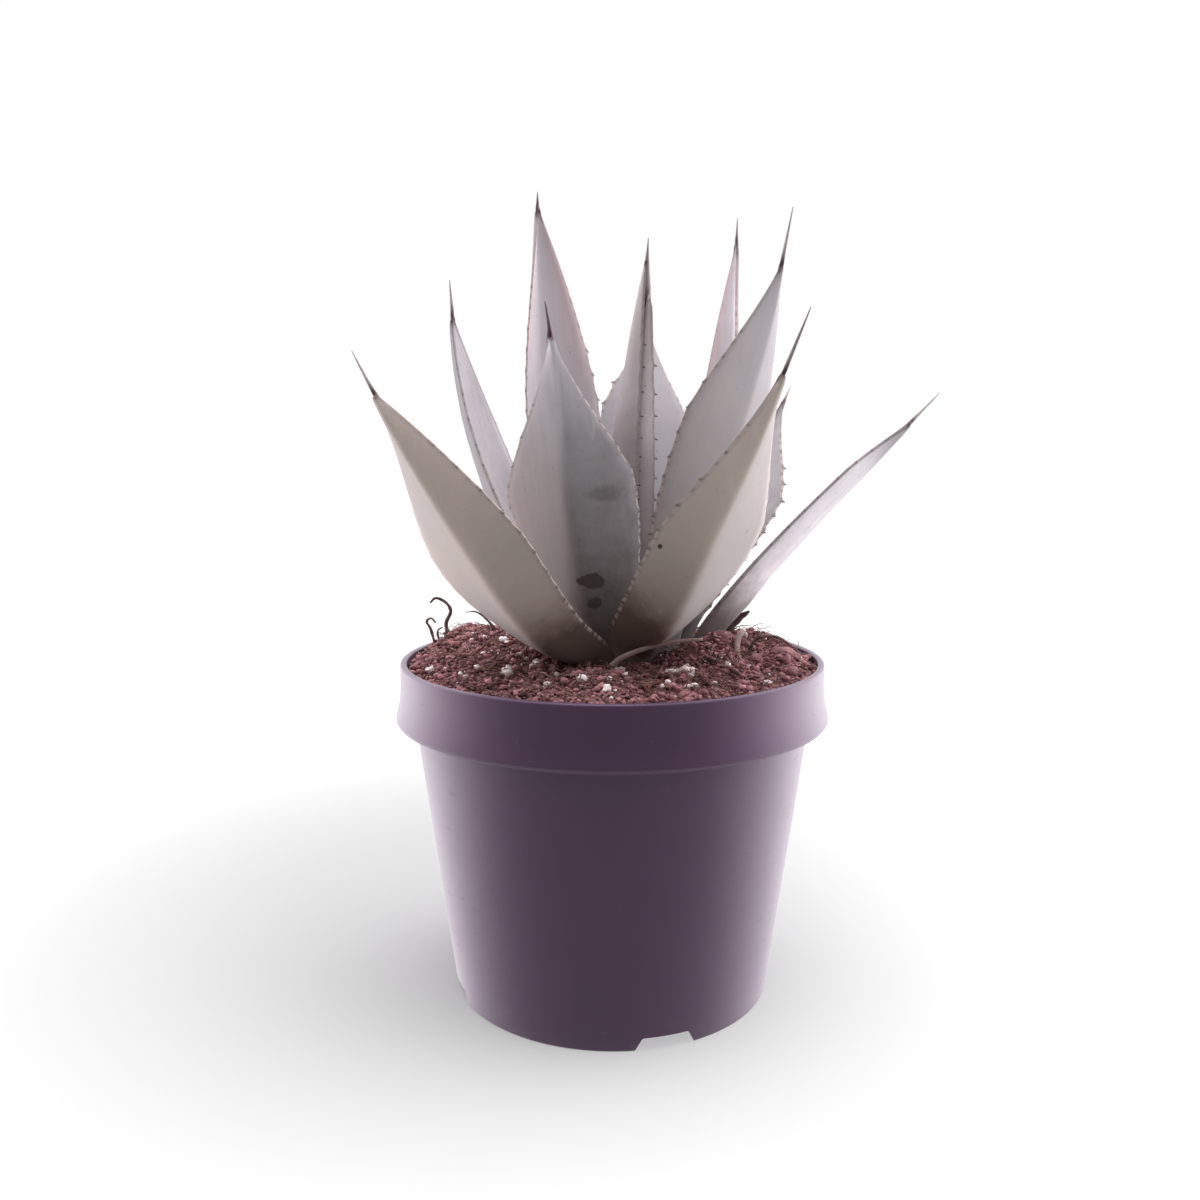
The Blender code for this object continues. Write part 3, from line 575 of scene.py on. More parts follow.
# Perlite
# Light puffed grains of volcanic glass, up to 4 mm across, white or stained pink by the
# peat. The clusters that show at the front have their places and radii, and smaller
# grains are strewn.
PERLITE = (
    (-37.0, 9.0, 2.0), (-35.5, 7.0, 1.4), (-30.0, -14.0, 2.0), (-28.6, -14.5, 1.4),
    (-24.0, -21.0, 1.7), (-22.6, -21.8, 1.3), (-23.0, -30.0, 2.2), (-24.8, -31.0, 1.5),
    (-32.0, -32.0, 1.6), (-33.0, -34.0, 1.9), (-31.5, -35.5, 2.0), (-58.0, -20.0, 1.9),
    (-42.0, -29.0, 1.4), (-9.3, -46.0, 2.0), (-2.0, -55.0, 1.7),
    (0.5, -32.0, 1.6), (2.6, -32.4, 1.7), (1.4, -31.0, 1.1), (-7.0, -35.0, 1.2), (16.5, -36.0, 1.5),
    (17.8, -37.5, 1.3), (19.4, -37.0, 1.2), (21.6, -38.0, 2.2), (23.4, -37.0, 1.9), (23.0, -40.0, 1.6),
    (22.6, -33.5, 1.1), (23.4, -49.0, 1.5), (21.4, -50.0, 1.1), (14.0, -51.0, 1.0), (35.0, -33.0, 1.4),
    (46.0, -41.0, 1.5), (61.0, -8.0, 1.9), (60.0, -12.0, 1.5), (57.0, -14.0, 1.2), (52.0, 8.0, 1.4),
    (-44.0, 12.0, 1.2), (-48.0, 8.0, 1.2), (-43.0, -3.0, 1.2), (-36.0, 18.0, 1.5), (-33.0, 14.0, 1.6),
)
PERLITE_STREWN = 190
PERLITE_KINDS = 6
PERLITE_LEAST_R = 0.35
PERLITE_MORE_R = 1.0
PERLITE_PACKED = 0.82
PERLITE_WHITE = (0.95, 0.86, 0.86, 1.0)
PERLITE_PINK = (0.80, 0.55, 0.54, 1.0)

grain_shapes = [
    lump_shape("grain_%d" % i, 2, 0.55, i + 20, (1.0, 0.85, 0.8)) for i in range(PERLITE_KINDS)]
grains = list(PERLITE)
for i in range(PERLITE_STREWN):
    r, turn = anywhere(SOIL_RIM_R - 2.5, 0.16)
    size = PERLITE_LEAST_R + PERLITE_MORE_R * dice.random() ** 2.5
    grains.append((r * math.cos(turn), r * math.sin(turn), size))
bm = with_marks("tint")
for i, (x, y, size) in enumerate(grains):
    sunk = Matrix.Translation(on_mound(x, y, size * 0.35))
    place = sunk @ tumbled(1.0) @ Matrix.Scale(size * PERLITE_PACKED * MM, 4)
    strew(bm, grain_shapes[i % PERLITE_KINDS], place, tint=dice.random())
puffed = Finish("perlite", Specular_IOR_Level=0.4)
stain = puffed.mark("tint").ease(0.25, 1.0) * 0.5 + puffed.grain(700.0, 3.0).ease(0.5, 0.75) * 0.35
puffed.feed("Base Color", puffed.mix(stain, PERLITE_WHITE, PERLITE_PINK))
puffed.feed("Roughness", 0.7 + puffed.grain(1500.0) * 0.2)
puffed.bump(puffed.grain(1800.0, 3.0, 0.7), 0.8, 0.3)
perlite = into_scene("soil_perlite", bm, puffed.material, crease=180.0)
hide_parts("soil")

# Roots, bark and clods
# A dry root curls up over the left rim with smaller ones beside it. At the right lie
# a dark bark chip, a pale bent strip of bark, clods of matted fibre and a thin root,
# and a pale root lies along the foot of the front leaves.
ROOTS = (
    (((-57.0, 20.0, 113.0), (-58.3, 20.0, 119.2), (-56.6, 20.0, 123.6), (-58.0, 19.5, 126.8),
      (-61.4, 19.0, 128.6), (-63.6, 19.0, 127.0)), 0.8, 0.4),
    (((-62.0, 18.0, 112.0), (-63.4, 18.0, 117.6), (-64.8, 18.0, 120.4), (-63.2, 18.0, 121.6),
      (-61.6, 18.0, 120.0)), 0.6, 0.3),
    (((-41.0, 20.0, 117.5), (-44.4, 20.0, 121.3), (-47.8, 20.0, 123.6), (-51.4, 20.0, 123.4)),
     0.55, 0.15),
    (((-60.0, 16.0, 113.0), (-60.6, 15.0, 117.4), (-58.8, 15.0, 119.0)), 0.5, 0.25),
    (((44.0, -8.0, 113.0), (47.2, -10.0, 119.4), (53.6, -10.0, 119.8), (59.4, -9.0, 116.0),
      (62.6, -8.0, 112.4)), 0.7, 0.3),
)
ROOT_WOBBLE = 0.25
ROOT_DARK = (0.085, 0.050, 0.052, 1.0)
ROOT_DRY = (0.30, 0.21, 0.20, 1.0)

dry = Finish("dry_root", Specular_IOR_Level=0.3)
streaks = dry.grain(900.0, 3.0, 0.6)
dry.feed("Base Color", dry.mix(streaks.ease(0.3, 0.75), ROOT_DARK, ROOT_DRY))
dry.feed("Roughness", 0.7 + streaks * 0.2)
dry.bump(streaks, 0.7, 0.3)
bm = bmesh.new()
for points, thick, thin in ROOTS:
    path = smooth_path(points, 8)
    radii = []
    for k, point in enumerate(path):
        share = k / (len(path) - 1)
        wobble = 1.0 + ROOT_WOBBLE * noise.noise(point * 0.7)
        radii.append((thick + (thin - thick) * share) * wobble)
    skin(bm, path_rings(path, radii, 8))
bmesh.ops.recalc_face_normals(bm, faces=bm.faces)
roots = into_scene("soil_roots", bm, dry.material, crease=180.0)
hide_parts("soil")

# The chip is a splinter and the strip a flat arc on edge. The pale root by the front
# leaves is peeled as the strip is, and shares its colours.
CHIP = ((36.5, 0.0, 119.0), (39.5, 0.0, 122.0), (42.5, 0.0, 124.6), (46.0, 0.0, 126.8))
CHIP_RADII = (1.5, 2.0, 2.1, 1.9, 2.0, 1.7, 1.5, 1.6, 1.3, 1.1, 0.9, 0.7, 0.4)
STRIP = (
    (43.6, -12.0, 120.4), (41.4, -14.5, 122.0), (40.0, -16.0, 119.4), (40.0, -17.0, 116.0),
    (41.6, -18.0, 112.5))
STRIP_RADII = [1.0 + 0.5 * math.sin(math.pi * k / 20.0) for k in range(21)]
PALE_ROOT = (
    (-0.6, -32.6, 114.8), (3.2, -33.0, 117.8), (11.0, -32.4, 120.6), (19.0, -31.4, 122.2),
    (27.6, -29.6, 122.6))
PALE_ROOT_RADII = [0.95 - 0.02 * k for k in range(25)]
BARK_ROUGH = 0.3
CHIP_DARK = (0.045, 0.026, 0.024, 1.0)
CHIP_BROWN = (0.16, 0.10, 0.09, 1.0)
STRIP_TAN = (0.25, 0.155, 0.145, 1.0)
STRIP_PALE = (0.48, 0.365, 0.345, 1.0)

bm = bmesh.new()
skin(bm, path_rings(smooth_path(CHIP, 4), CHIP_RADII, 7, 0.6))
skin(bm, path_rings(smooth_path(STRIP, 5), STRIP_RADII, 8, 0.45))
skin(bm, path_rings(smooth_path(PALE_ROOT, 6), PALE_ROOT_RADII, 8))
for v in bm.verts:
    place = v.co * 900.0
    rough = Vector((noise.noise(place), noise.noise(place + Vector((5.0, 0.0, 0.0))), 0.0))
    v.co += rough * BARK_ROUGH * MM
bmesh.ops.recalc_face_normals(bm, faces=bm.faces)
bark = Finish("bark", Specular_IOR_Level=0.3)
layers_of_bark = bark.grain(420.0, 4.0, 0.6, bark.stretched((1.0, 1.0, 0.35)))
across = bark.part(bark.here, "Y")
pale_strip = across.ease(-0.004, -0.009)
dark_bark = bark.mix(layers_of_bark, CHIP_DARK, CHIP_BROWN)
pale_bark = bark.mix(layers_of_bark, STRIP_TAN, STRIP_PALE)
bark.feed("Base Color", bark.mix(pale_strip, dark_bark, pale_bark))
bark.feed("Roughness", 0.75 + layers_of_bark * 0.2)
bark.bump(layers_of_bark, 0.8, 0.4)
chips = into_scene("soil_bark", bm, bark.material, crease=180.0)
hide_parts("soil")

# Each clod is a rough lump with crumbs of its own stuck to it
CLODS = ((52.0, -17.0, 112.4, 8.2, 5.6, 4.4, 0.5), (34.0, -13.0, 118.0, 6.0, 5.0, 3.6, 0.35))
CLOD_CRUMBS = 260

bm = with_marks("tint")
clod_shape = lump_shape("clod", 4, 0.45, 3.0)
for x, y, z, long, wide, tall, tint in CLODS:
    swollen = Matrix.Diagonal((long * MM, wide * MM, tall * MM, 1.0))
    clod = Matrix.Translation(Vector((x, y, z)) * MM) @ swollen
    strew(bm, clod_shape, clod, tint=tint)
    for i in range(CLOD_CRUMBS):
        way = Vector((dice.gauss(0.0, 1.0), dice.gauss(0.0, 1.0), abs(dice.gauss(0.0, 0.8))))
        size = 0.3 + 0.6 * dice.random() ** 2
        spot = clod @ (way.normalized() * dice.uniform(0.92, 1.04))
        place = Matrix.Translation(spot) @ Matrix.Scale(size * MM, 4)
        strew(bm, crumb_shapes[i % CRUMB_KINDS], place, tint=dice.random())
clods = into_scene("soil_clods", bm, peat_finish("peat_clods", True), crease=180.0)
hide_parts("soil")

# Stem
# The short thick caudex under the rosette, hidden in the soil and by the leaves. It
# is as built, with the rough brown skin of old leaf bases.
STEM_BROWN = (0.16, 0.10, 0.075, 1.0)
STEM_PALE = (0.44, 0.36, 0.27, 1.0)

pith = Finish("stem_skin", Specular_IOR_Level=0.3)
scales = pith.grain(180.0, 4.0, 0.6, pith.stretched((1.0, 1.0, 2.5)))
pith.feed("Base Color", pith.mix(scales, STEM_BROWN, STEM_PALE))
pith.feed("Roughness", 0.75 + scales * 0.2)
pith.bump(scales, 0.8, 0.6)
stem = bpy.data.objects["stem"]
stem.data.materials.clear()
stem.data.materials.append(pith.material)

# Leaves
# Eleven open leaves: firm grey flesh under a waxy bloom, keeled below and guttered
# above. Small hooked brown teeth stand on bumps of a thin pale margin, and the tip
# is drawn out into a hard dark spine. Each is one piece with its teeth and spine.
MARGIN_THICK = 0.6
MIDRIB_TIP_THICK = 1.2
SUNK_IN_STEM = 6.0
SPINE_ROOT_R = 0.7
SPINE_POINT_R = 0.13
TOOTH_FIRST = (0.13, 0.15)
TOOTH_LAST = 0.73
TOOTH_STEP_FOOT = 5.0
TOOTH_STEP_TIP = 9.0
TOOTH_LONG = 0.95
TOOTH_SUNK = 0.25
TOOTH_RINGS = 7
TOOTH_SIDES = 8
TOOTH_BUMP = 0.6
TOOTH_BUMP_WIDE = 1.5
FOOT_RISE = 75.0
FOOT_SHARE = 0.16
FOLD_POWER = 1.35
FOLD_ROUND = 0.035
CLOSE_AT_FOLD = 1.6
KEEL_AT_FOOT = 0.3
KEEL_GROWS = 3.0
LEAF_ROWS = 150
LEAF_TIP_FROM = 0.96
LEAF_TIP_ROWS = 22
LEAF_SPINE_ROWS = 14
LEAF_HALF_RING = 21
LEAF_WALK = 240
SPINE_BLEND = 3.0
# Rise and curl are given at the foot and the tip, and warm, stain, teeth and the dark
# margin band for the left and right side as seen from outside the rosette. The stain
# browns the foot, partly a real stain and partly painted shade low among the leaves, and
# the dark margin band is partly horny margin and partly painted shadow in folds and gaps.
# The darkening of each half is worn bloom and painted shade where the half lies in
# shade, and below 0 it is painted light where the half faces the light. It has left and
# right at the foot, left and right at the tip, and how much more at the very end.
USUAL_LEAF = dict(
    thick=4.5, ridge=0.0, warm=(0.1, 0.1), stain=(0.3, 0.3), blush=0.10, dark_margin_and_shadow=(0.2, 0.2),
    outer_face_shade=1.0, horn=0.2)
LEAVES = {
    "leaf_front_left": dict(
        azimuth=221.0, sweep=-37.5, rise=(6.0, 62.0), arch=20.5, length=110.5, half=28.5, foot=0.47,
        widest=0.51, taper=0.34, curl=(3.0, 30.5), roll=5.5, twist=24.5, from_axis=19.5,
        from_ground=112.0, spine=14.0, keel=6.5, ridge=0.5, warm=(0.6, 1.0), stain=(0.8, 1.9),
        blush=0.25, wear_and_painted_shade=(0.05, 0.1, 0.05, -0.1, 0.0), teeth=(0.65, 0.65), dark_margin_and_shadow=(0.0, 0.3),
        outer_face_shade=0.0, horn=0.0),
    "leaf_front": dict(
        azimuth=238.0, sweep=8.5, rise=(49.5, 71.0), arch=10.5, length=100.5, half=19.5, foot=0.52,
        widest=0.55, taper=0.64, curl=(22.5, 19.0), roll=5.0, twist=50.5, from_axis=13.5,
        from_ground=119.0, spine=10.0, keel=5.0, ridge=-0.17, warm=(0.0, 0.0), stain=(0.2, 0.3),
        wear_and_painted_shade=(1.1, 1.5, -1.15, 0.95, 0.0), teeth=(0.5, 0.75), dark_margin_and_shadow=(0.0, 0.3), outer_face_shade=0.0,
        horn=1.0),
    "leaf_front_right": dict(
        azimuth=288.0, sweep=49.0, rise=(15.0, 67.0), arch=18.0, length=102.5, half=20.5, foot=0.63,
        widest=0.54, taper=0.62, curl=(29.0, 3.0), roll=4.0, twist=-19.0, from_axis=17.0,
        from_ground=117.5, spine=19.0, keel=5.0, ridge=-0.33, warm=(1.0, 0.45), stain=(2.2, 0.6),
        blush=0.15, wear_and_painted_shade=(0.8, 0.35, -0.35, -0.05, 0.0), teeth=(0.8, 0.6), dark_margin_and_shadow=(0.3, 0.0),
        outer_face_shade=0.0, horn=0.6),
    "leaf_right_inner": dict(
        azimuth=329.0, sweep=13.0, rise=(71.5, 78.5), arch=-5.0, length=122.0, half=21.5, foot=0.41,
        widest=0.61, taper=0.42, curl=(31.5, 12.5), roll=-22.5, twist=7.0, from_axis=11.0,
        from_ground=119.0, spine=17.5, keel=1.5, warm=(0.25, 0.2), wear_and_painted_shade=(0.5, 0.45, 0.1, 0.0, 0.0),
        teeth=(0.8, 0.7), dark_margin_and_shadow=(0.2, 0.0), outer_face_shade=0.0),
    "leaf_right": dict(
        azimuth=359.5, sweep=24.5, rise=(55.5, 38.5), arch=-5.0, length=109.5, half=16.5, foot=0.36,
        widest=0.69, taper=0.53, curl=(9.5, 16.0), roll=-11.0, twist=-17.0, from_axis=20.0,
        from_ground=113.0, spine=16.5, keel=3.0, warm=(0.1, 0.0), stain=(1.1, 1.1), blush=0.00,
        wear_and_painted_shade=(-2.1, -2.1, -0.8, -0.8, 1.4), teeth=(0.35, 0.35), dark_margin_and_shadow=(1.0, 1.0), outer_face_shade=0.0),
    "leaf_right_back": dict(
        azimuth=51.5, sweep=-3.0, rise=(49.0, 51.0), arch=-6.5, length=115.5, half=23.5, foot=0.55,
        widest=0.55, taper=0.66, curl=(24.5, 31.5), roll=6.0, twist=1.5, from_axis=17.0,
        from_ground=113.5, spine=9.5, keel=2.5, blush=0.20, wear_and_painted_shade=(0.9, 0.9, 0.9, 0.9, 0.0),
        teeth=(1.2, 1.2)),
    "leaf_back_right": dict(
        azimuth=39.0, sweep=-5.5, rise=(42.5, 86.0), arch=14.5, length=143.0, half=15.0, foot=0.33,
        widest=0.45, taper=0.09, curl=(22.0, 31.5), roll=-13.5, twist=-1.5, from_axis=11.0,
        from_ground=112.5, thick=4.0, spine=10.0, keel=2.0, blush=0.90,
        wear_and_painted_shade=(-0.6, -0.6, -0.6, -0.6, 0.0), teeth=(0.8, 0.8), dark_margin_and_shadow=(0.0, 0.0)),
    "leaf_back": dict(
        azimuth=81.5, sweep=1.0, rise=(78.5, 42.0), arch=4.5, length=115.0, half=18.5, foot=0.42,
        widest=0.59, taper=0.68, curl=(48.5, 27.0), roll=6.5, twist=38.5, from_axis=10.5,
        from_ground=123.5, thick=3.5, spine=15.0, keel=2.0, wear_and_painted_shade=(0.5, 0.5, 0.3, 0.3, 0.0),
        teeth=(1.2, 1.2)),
    "leaf_back_low": dict(
        azimuth=99.5, sweep=0.0, rise=(34.5, 60.0), arch=4.0, length=111.0, half=22.5, foot=0.50,
        widest=0.45, taper=0.20, curl=(21.0, 34.0), roll=4.0, twist=0.0, from_axis=18.0,
        from_ground=108.0, thick=4.0, spine=17.0, keel=2.5, warm=(0.4, 0.5), stain=(0.8, 0.8),
        blush=0.30, wear_and_painted_shade=(0.4, 0.3, 0.4, 0.3, 0.0), teeth=(1.1, 1.1)),
    "leaf_back_left": dict(
        azimuth=133.0, sweep=3.0, rise=(51.5, 86.5), arch=10.5, length=156.0, half=21.5, foot=0.42,
        widest=0.55, taper=0.19, curl=(22.0, 44.5), roll=7.0, twist=4.0, from_axis=11.5,
        from_ground=111.5, thick=4.0, spine=6.5, keel=4.0, warm=(0.1, 0.15), blush=0.90,
        wear_and_painted_shade=(-0.3, -0.3, 0.1, 0.1, 0.0), teeth=(1.6, 0.5), dark_margin_and_shadow=(0.0, 0.0)),
    "leaf_left": dict(
        azimuth=173.5, sweep=-3.0, rise=(58.5, 84.5), arch=-5.0, length=120.0, half=19.5, foot=0.46,
        widest=0.54, taper=0.13, curl=(12.5, 22.0), roll=-0.5, twist=-0.5, from_axis=16.0,
        from_ground=111.5, spine=12.5, keel=3.5, warm=(0.0, 0.0), stain=(0.4, 0.4),
        wear_and_painted_shade=(-1.0, -1.0, -1.0, -1.0, 0.0), teeth=(0.8, 0.8), dark_margin_and_shadow=(0.6, 0.6)),
}
SCARS = (
    (-6.5, -28.0, 140.4, 4.4, 2.4, 0.9, 0.08), (-5.9, -24.8, 133.4, 2.2, 1.9, 0.8, 0.12),
    (-2.4, -32.0, 167.4, 5.5, 2.2, 0.42, 0.45), (12.8, -55.4, 153.7, 0.7, 0.7, 1.0, 0.2))
SCAR_THROUGH = 10.0


def outwards(angle):
    """The level direction at an angle from +X."""
    return Vector((math.cos(angle), math.sin(angle), 0.0))


def eased(value):
    """0 to 1 with a soft start and end."""
    value = min(1.0, max(0.0, value))
    return value * value * (3.0 - 2.0 * value)


def half_width(leaf, t):
    """Half-width as a share of the leaf's widest, at t from foot to tip."""
    if t < leaf["widest"]:
        rise = math.sin(0.5 * math.pi * max(0.0, t) / leaf["widest"]) ** 1.3
        return leaf["foot"] + (1.0 - leaf["foot"]) * rise
    u = (t - leaf["widest"]) / (1.0 - leaf["widest"])
    return max(0.0, (1.0 - u ** 1.9) * (1.0 - leaf["taper"] * u))


def leaf_frames(leaf, stops):
    """Places and directions along a leaf: (t, centre, along, across, inwards)."""
    azimuth = math.radians(leaf["azimuth"])
    foot = Vector((
        ROSETTE_X + leaf["from_axis"] * math.cos(azimuth),
        ROSETTE_Y + leaf["from_axis"] * math.sin(azimuth),
        leaf["from_ground"]))

    def directions(t):
        low, high = leaf["rise"]
        bend = max(0.0, FOOT_RISE - low) * max(0.0, 1.0 - t / FOOT_SHARE) ** 2
        slope = math.radians(low + (high - low) * t + leaf["arch"] * 4.0 * t * (1.0 - t) + bend)
        turn = azimuth + math.radians(leaf["sweep"]) * t
        roll = math.radians(leaf["roll"] + leaf["twist"] * t)
        flat = math.cos(slope)
        along = Vector((flat * math.cos(turn), flat * math.sin(turn), math.sin(slope)))
        level = Vector((-math.sin(turn), math.cos(turn), 0.0))
        upper = along.cross(level)
        across = level * math.cos(roll) + upper * math.sin(roll)
        return along, across, upper * math.cos(roll) - level * math.sin(roll)

    walk = [Vector((0.0, 0.0, 0.0))]
    for step in range(LEAF_WALK):
        ahead = directions((step + 0.5) / LEAF_WALK)[0]
        walk.append(walk[-1] + ahead * (leaf["length"] / LEAF_WALK))
    frames = []
    for t in stops:
        held = min(1.0, max(0.0, t))
        step = min(LEAF_WALK - 1, int(held * LEAF_WALK))
        ahead = walk[step].lerp(walk[step + 1], held * LEAF_WALK - step)
        along, across, inwards = directions(held)
        frames.append((t, foot + ahead + along * ((t - held) * leaf["length"]), along, across, inwards))
    return frames


def tooth_stops(length, first, last):
    """Places of the teeth along a margin: close together low down, wider apart above."""
    t = first
    stops = []
    while t < last:
        stops.append(t)
        step = TOOTH_STEP_FOOT + (TOOTH_STEP_TIP - TOOTH_STEP_FOOT) * (t - first) / (last - first)
        t += step / length * (1.0 + 0.45 * noise.noise(Vector((t * 23.0, length * 0.7, first * 90.0))))
    return stops


def tooth_count(stops, t):
    """How many teeth lie below t, running on evenly between them."""
    if t <= stops[0]:
        return (t - stops[0]) / (stops[1] - stops[0])
    for i in range(len(stops) - 1):
        if t < stops[i + 1]:
            return i + (t - stops[i]) / (stops[i + 1] - stops[i])
    return len(stops) - 1 + (t - stops[-1]) / (stops[-1] - stops[-2])


def margin_bump(stops, t, length):
    """How far the margin stands out towards its nearest tooth."""
    nearest = min(abs(t - stop) for stop in stops) * length
    return TOOTH_BUMP * math.exp(-(nearest / TOOTH_BUMP_WIDE) ** 2)


def between_sides(pair, right):
    """A value from the left one of a pair to the right one."""
    return pair[0] + (pair[1] - pair[0]) * right


def blade_ring(leaf, frame_here, teeth):
    """The ring of points round the blade at one of its frames, and the marks on them."""
    t, centre, along, across, inwards = frame_here
    held = min(1.0, max(0.0, t))
    low, high = leaf["curl"]
    curl = math.radians(low + (high - low) * held)
    half = max(leaf["half"] * half_width(leaf, held), SPINE_ROOT_R)
    wide = half * math.sin(curl) / curl
    tall = half * (1.0 - math.cos(curl)) / curl
    deep = leaf["keel"] * min(1.0, KEEL_AT_FOOT + KEEL_GROWS * held) * math.sqrt(1.0 - held)
    rib = MIDRIB_TIP_THICK + leaf["thick"] * (1.0 - held) ** 1.2
    bumps = [
        margin_bump(stops, t, leaf["length"]) * size for stops, size in zip(teeth, leaf["teeth"])]
    counts = [tooth_count(stops, t) for stops in teeth]
    unit = math.sqrt(1.0 + FOLD_ROUND ** 2) - FOLD_ROUND
    ridge = leaf["ridge"]
    upper = eased(1.3 * held - 0.15)
    # Worn bloom and painted shade darken each half, and painted light lightens it below 0, from foot to
    # tip and more at the very end
    wear_and_painted_shade = leaf["wear_and_painted_shade"]
    worn_and_shaded = [at_foot + (at_tip - at_foot) * upper for at_foot, at_tip in zip(wear_and_painted_shade[:2], wear_and_painted_shade[2:4])]
    tip_worn_and_shaded = wear_and_painted_shade[4] * eased(5.0 * held - 3.6)
    ring = []
    marks = []
    for face in (0, 1):
        for k in range(LEAF_HALF_RING):
            even = -1.0 + 2.0 * k / (LEAF_HALF_RING - 1)
            share = math.copysign(abs(even) ** CLOSE_AT_FOLD, -even if face else even)
            reach = 1.0 - ridge if share > 0.0 else 1.0 + ridge
            s = ridge + reach * share
            side = 1 if s > 0.0 else 0
            bent = math.sqrt(share * share + FOLD_ROUND ** 2)
            off = (bent - FOLD_ROUND) / unit
            fold = tall * off ** FOLD_POWER - deep * (1.0 - off)
            steep = tall * FOLD_POWER * off ** (FOLD_POWER - 1.0) + deep
            lean = math.atan(steep * share / (bent * unit * wide * reach))
            normal = inwards * math.cos(lean) - across * math.sin(lean)
            bump = bumps[side] * max(0.0, abs(s) - 0.9) * 10.0
            place = centre + across * (s * wide + math.copysign(bump, s)) + inwards * fold
            if face:
                thick = MARGIN_THICK + (rib - MARGIN_THICK) * max(0.0, 1.0 - off) ** 0.75
                place = place - normal * thick
            wave = 0.35 * noise.noise(place * 0.045 + inwards) + 0.10 * noise.noise(place * 0.16)
            place = place + inwards * (wave * min(1.0, half / 6.0) * (1.0 - abs(s)))
            edge = (1.0 - abs(s)) * half
            right = eased(0.5 + share * 9.0)
            warmth = between_sides(leaf["warm"], right)
            # A thin painted highlight along the keel's crest lightens it
            crest_highlight = 0.9 * abs(ridge) * math.exp(-(share / 0.04) ** 2)
            wear_and_shade_here = between_sides(worn_and_shaded, right) + tip_worn_and_shaded - crest_highlight
            # On the leaves at the back, the outer face is darkened with painted shade
            if face:
                wear_and_shade_here += (max(0.9, wear_and_shade_here) - wear_and_shade_here) * leaf["outer_face_shade"]
            stain = between_sides(leaf["stain"], right)
            blush = leaf["blush"] * eased(2.2 * held - 0.9) * eased(1.6 * abs(s) - 0.5)
            ring.append(place)
            marks.append((
                t, s * half, edge, counts[side], warmth, 0.0, blush, stain, wear_and_shade_here, leaf["horn"],
                leaf["dark_margin_and_shadow"][side]))
        # One more point rounds the margin between the faces
        end = ring[-1]
        sign = -1.0 if face else 1.0
        out = across * sign
        ring.append(end - inwards * (MARGIN_THICK * (0.5 - face)) + out * (MARGIN_THICK * 0.35))
        last = marks[-1]
        marks.append((last[0], last[1], 0.0) + last[3:])
    if t > 1.0:
        # The spine is round, and the blade's end passes into it
        beyond = (t - 1.0) * leaf["length"]
        left = max(0.0, 1.0 - beyond / leaf["spine"])
        spine_r = SPINE_POINT_R + (SPINE_ROOT_R - SPINE_POINT_R) * left ** 0.8
        blend = eased(beyond / SPINE_BLEND)
        middle = centre - inwards * (spine_r * 0.6)
        count = len(ring)
        for k in range(count):
            angle = math.pi - 2.0 * math.pi * (k + 0.5) / count
            spot = middle + across * (spine_r * math.cos(angle))
            spot += inwards * (spine_r * math.sin(angle))
            ring[k] = ring[k].lerp(spot, blend)
    return ring, marks


# What the wax reads at each point: its place from foot (0) to tip (1), millimetres from
# the midrib and from the margin, teeth passed on the way up, and how much of each tone,
# painted shade and light among them
MARKS = (
    "along", "side", "edge", "count", "warm", "tooth", "blush", "stain", "wear_and_painted_shade", "horn", "dark_margin_and_shadow")

# One tooth, 1 high: a curved thorn with a long foot, its point turned down the margin
bm = with_marks(*MARKS)
rings = []
marks = []
for k in range(TOOTH_RINGS):
    share = k / (TOOTH_RINGS - 1)
    wide = 0.52 * (1.0 - share) ** 0.85 + 0.02
    centre = Vector((-0.42 * share ** 1.8, 0.0, -0.42 + 1.42 * share))
    rings.append([
        centre + Vector((wide * math.cos(turn), 0.5 * wide * math.sin(turn), 0.0))
        for turn in turns_round(TOOTH_SIDES)])
    hard = min(1.0, share * 1.6)
    marks.append([(0.5, 1.0, 0.0, 0.0, 0.5, hard, 0.0, 0.0, 0.0, 0.0, 0.0)] * TOOTH_SIDES)
skin(bm, rings, marks, unit=1.0)
bmesh.ops.recalc_face_normals(bm, faces=bm.faces)
tooth_shape = into_mesh("tooth", bm)


def set_tooth(bm, root, out, along, size, t):
    """Stand one tooth on a margin, its foot along it."""
    out = (out - along * out.dot(along)).normalized()
    flat = out.cross(along)
    turned = Matrix((along, flat, out)).transposed().to_4x4()
    place = Matrix.Translation(root * MM) @ turned @ Matrix.Scale(size * MM, 4)
    strew(bm, tooth_shape, place, along=t)


# The leaf's skin: grey-lilac bloom over tan flesh, fibres along it, worn bloom with painted
# shade and painted light on its halves, a brown foot that is stained and carries painted
# shade, a pale broken margin line that is partly a painted highlight, with brown at each
# tooth, a dark margin band that is partly painted shadow, and the spine's colours
BLOOM = (0.512, 0.484, 0.510, 1.0)
TAN = (0.520, 0.442, 0.396, 1.0)
PINK = (0.580, 0.430, 0.450, 1.0)
FOOT_STAIN_SHADE = (0.125, 0.088, 0.076, 1.0)
MARGIN_PALE_HIGHLIGHT = (0.56, 0.47, 0.43, 1.0)
TOOTH_BROWN = (0.060, 0.026, 0.028, 1.0)
SPINE_DARK = (0.095, 0.052, 0.060, 1.0)
SPINE_GREY = (0.54, 0.50, 0.49, 1.0)
SCAR_BROWN = (0.078, 0.064, 0.068, 1.0)
MARGIN_GREY_AND_SHADOW = (0.17, 0.14, 0.15, 1.0)
PRINT_BROWN = (0.30, 0.22, 0.22, 1.0)
SPECK_BROWN = (0.16, 0.11, 0.10, 1.0)
WIPED_BROWN = (0.30, 0.25, 0.23, 1.0)
RUBBED_PALE = (0.66, 0.61, 0.61, 1.0)

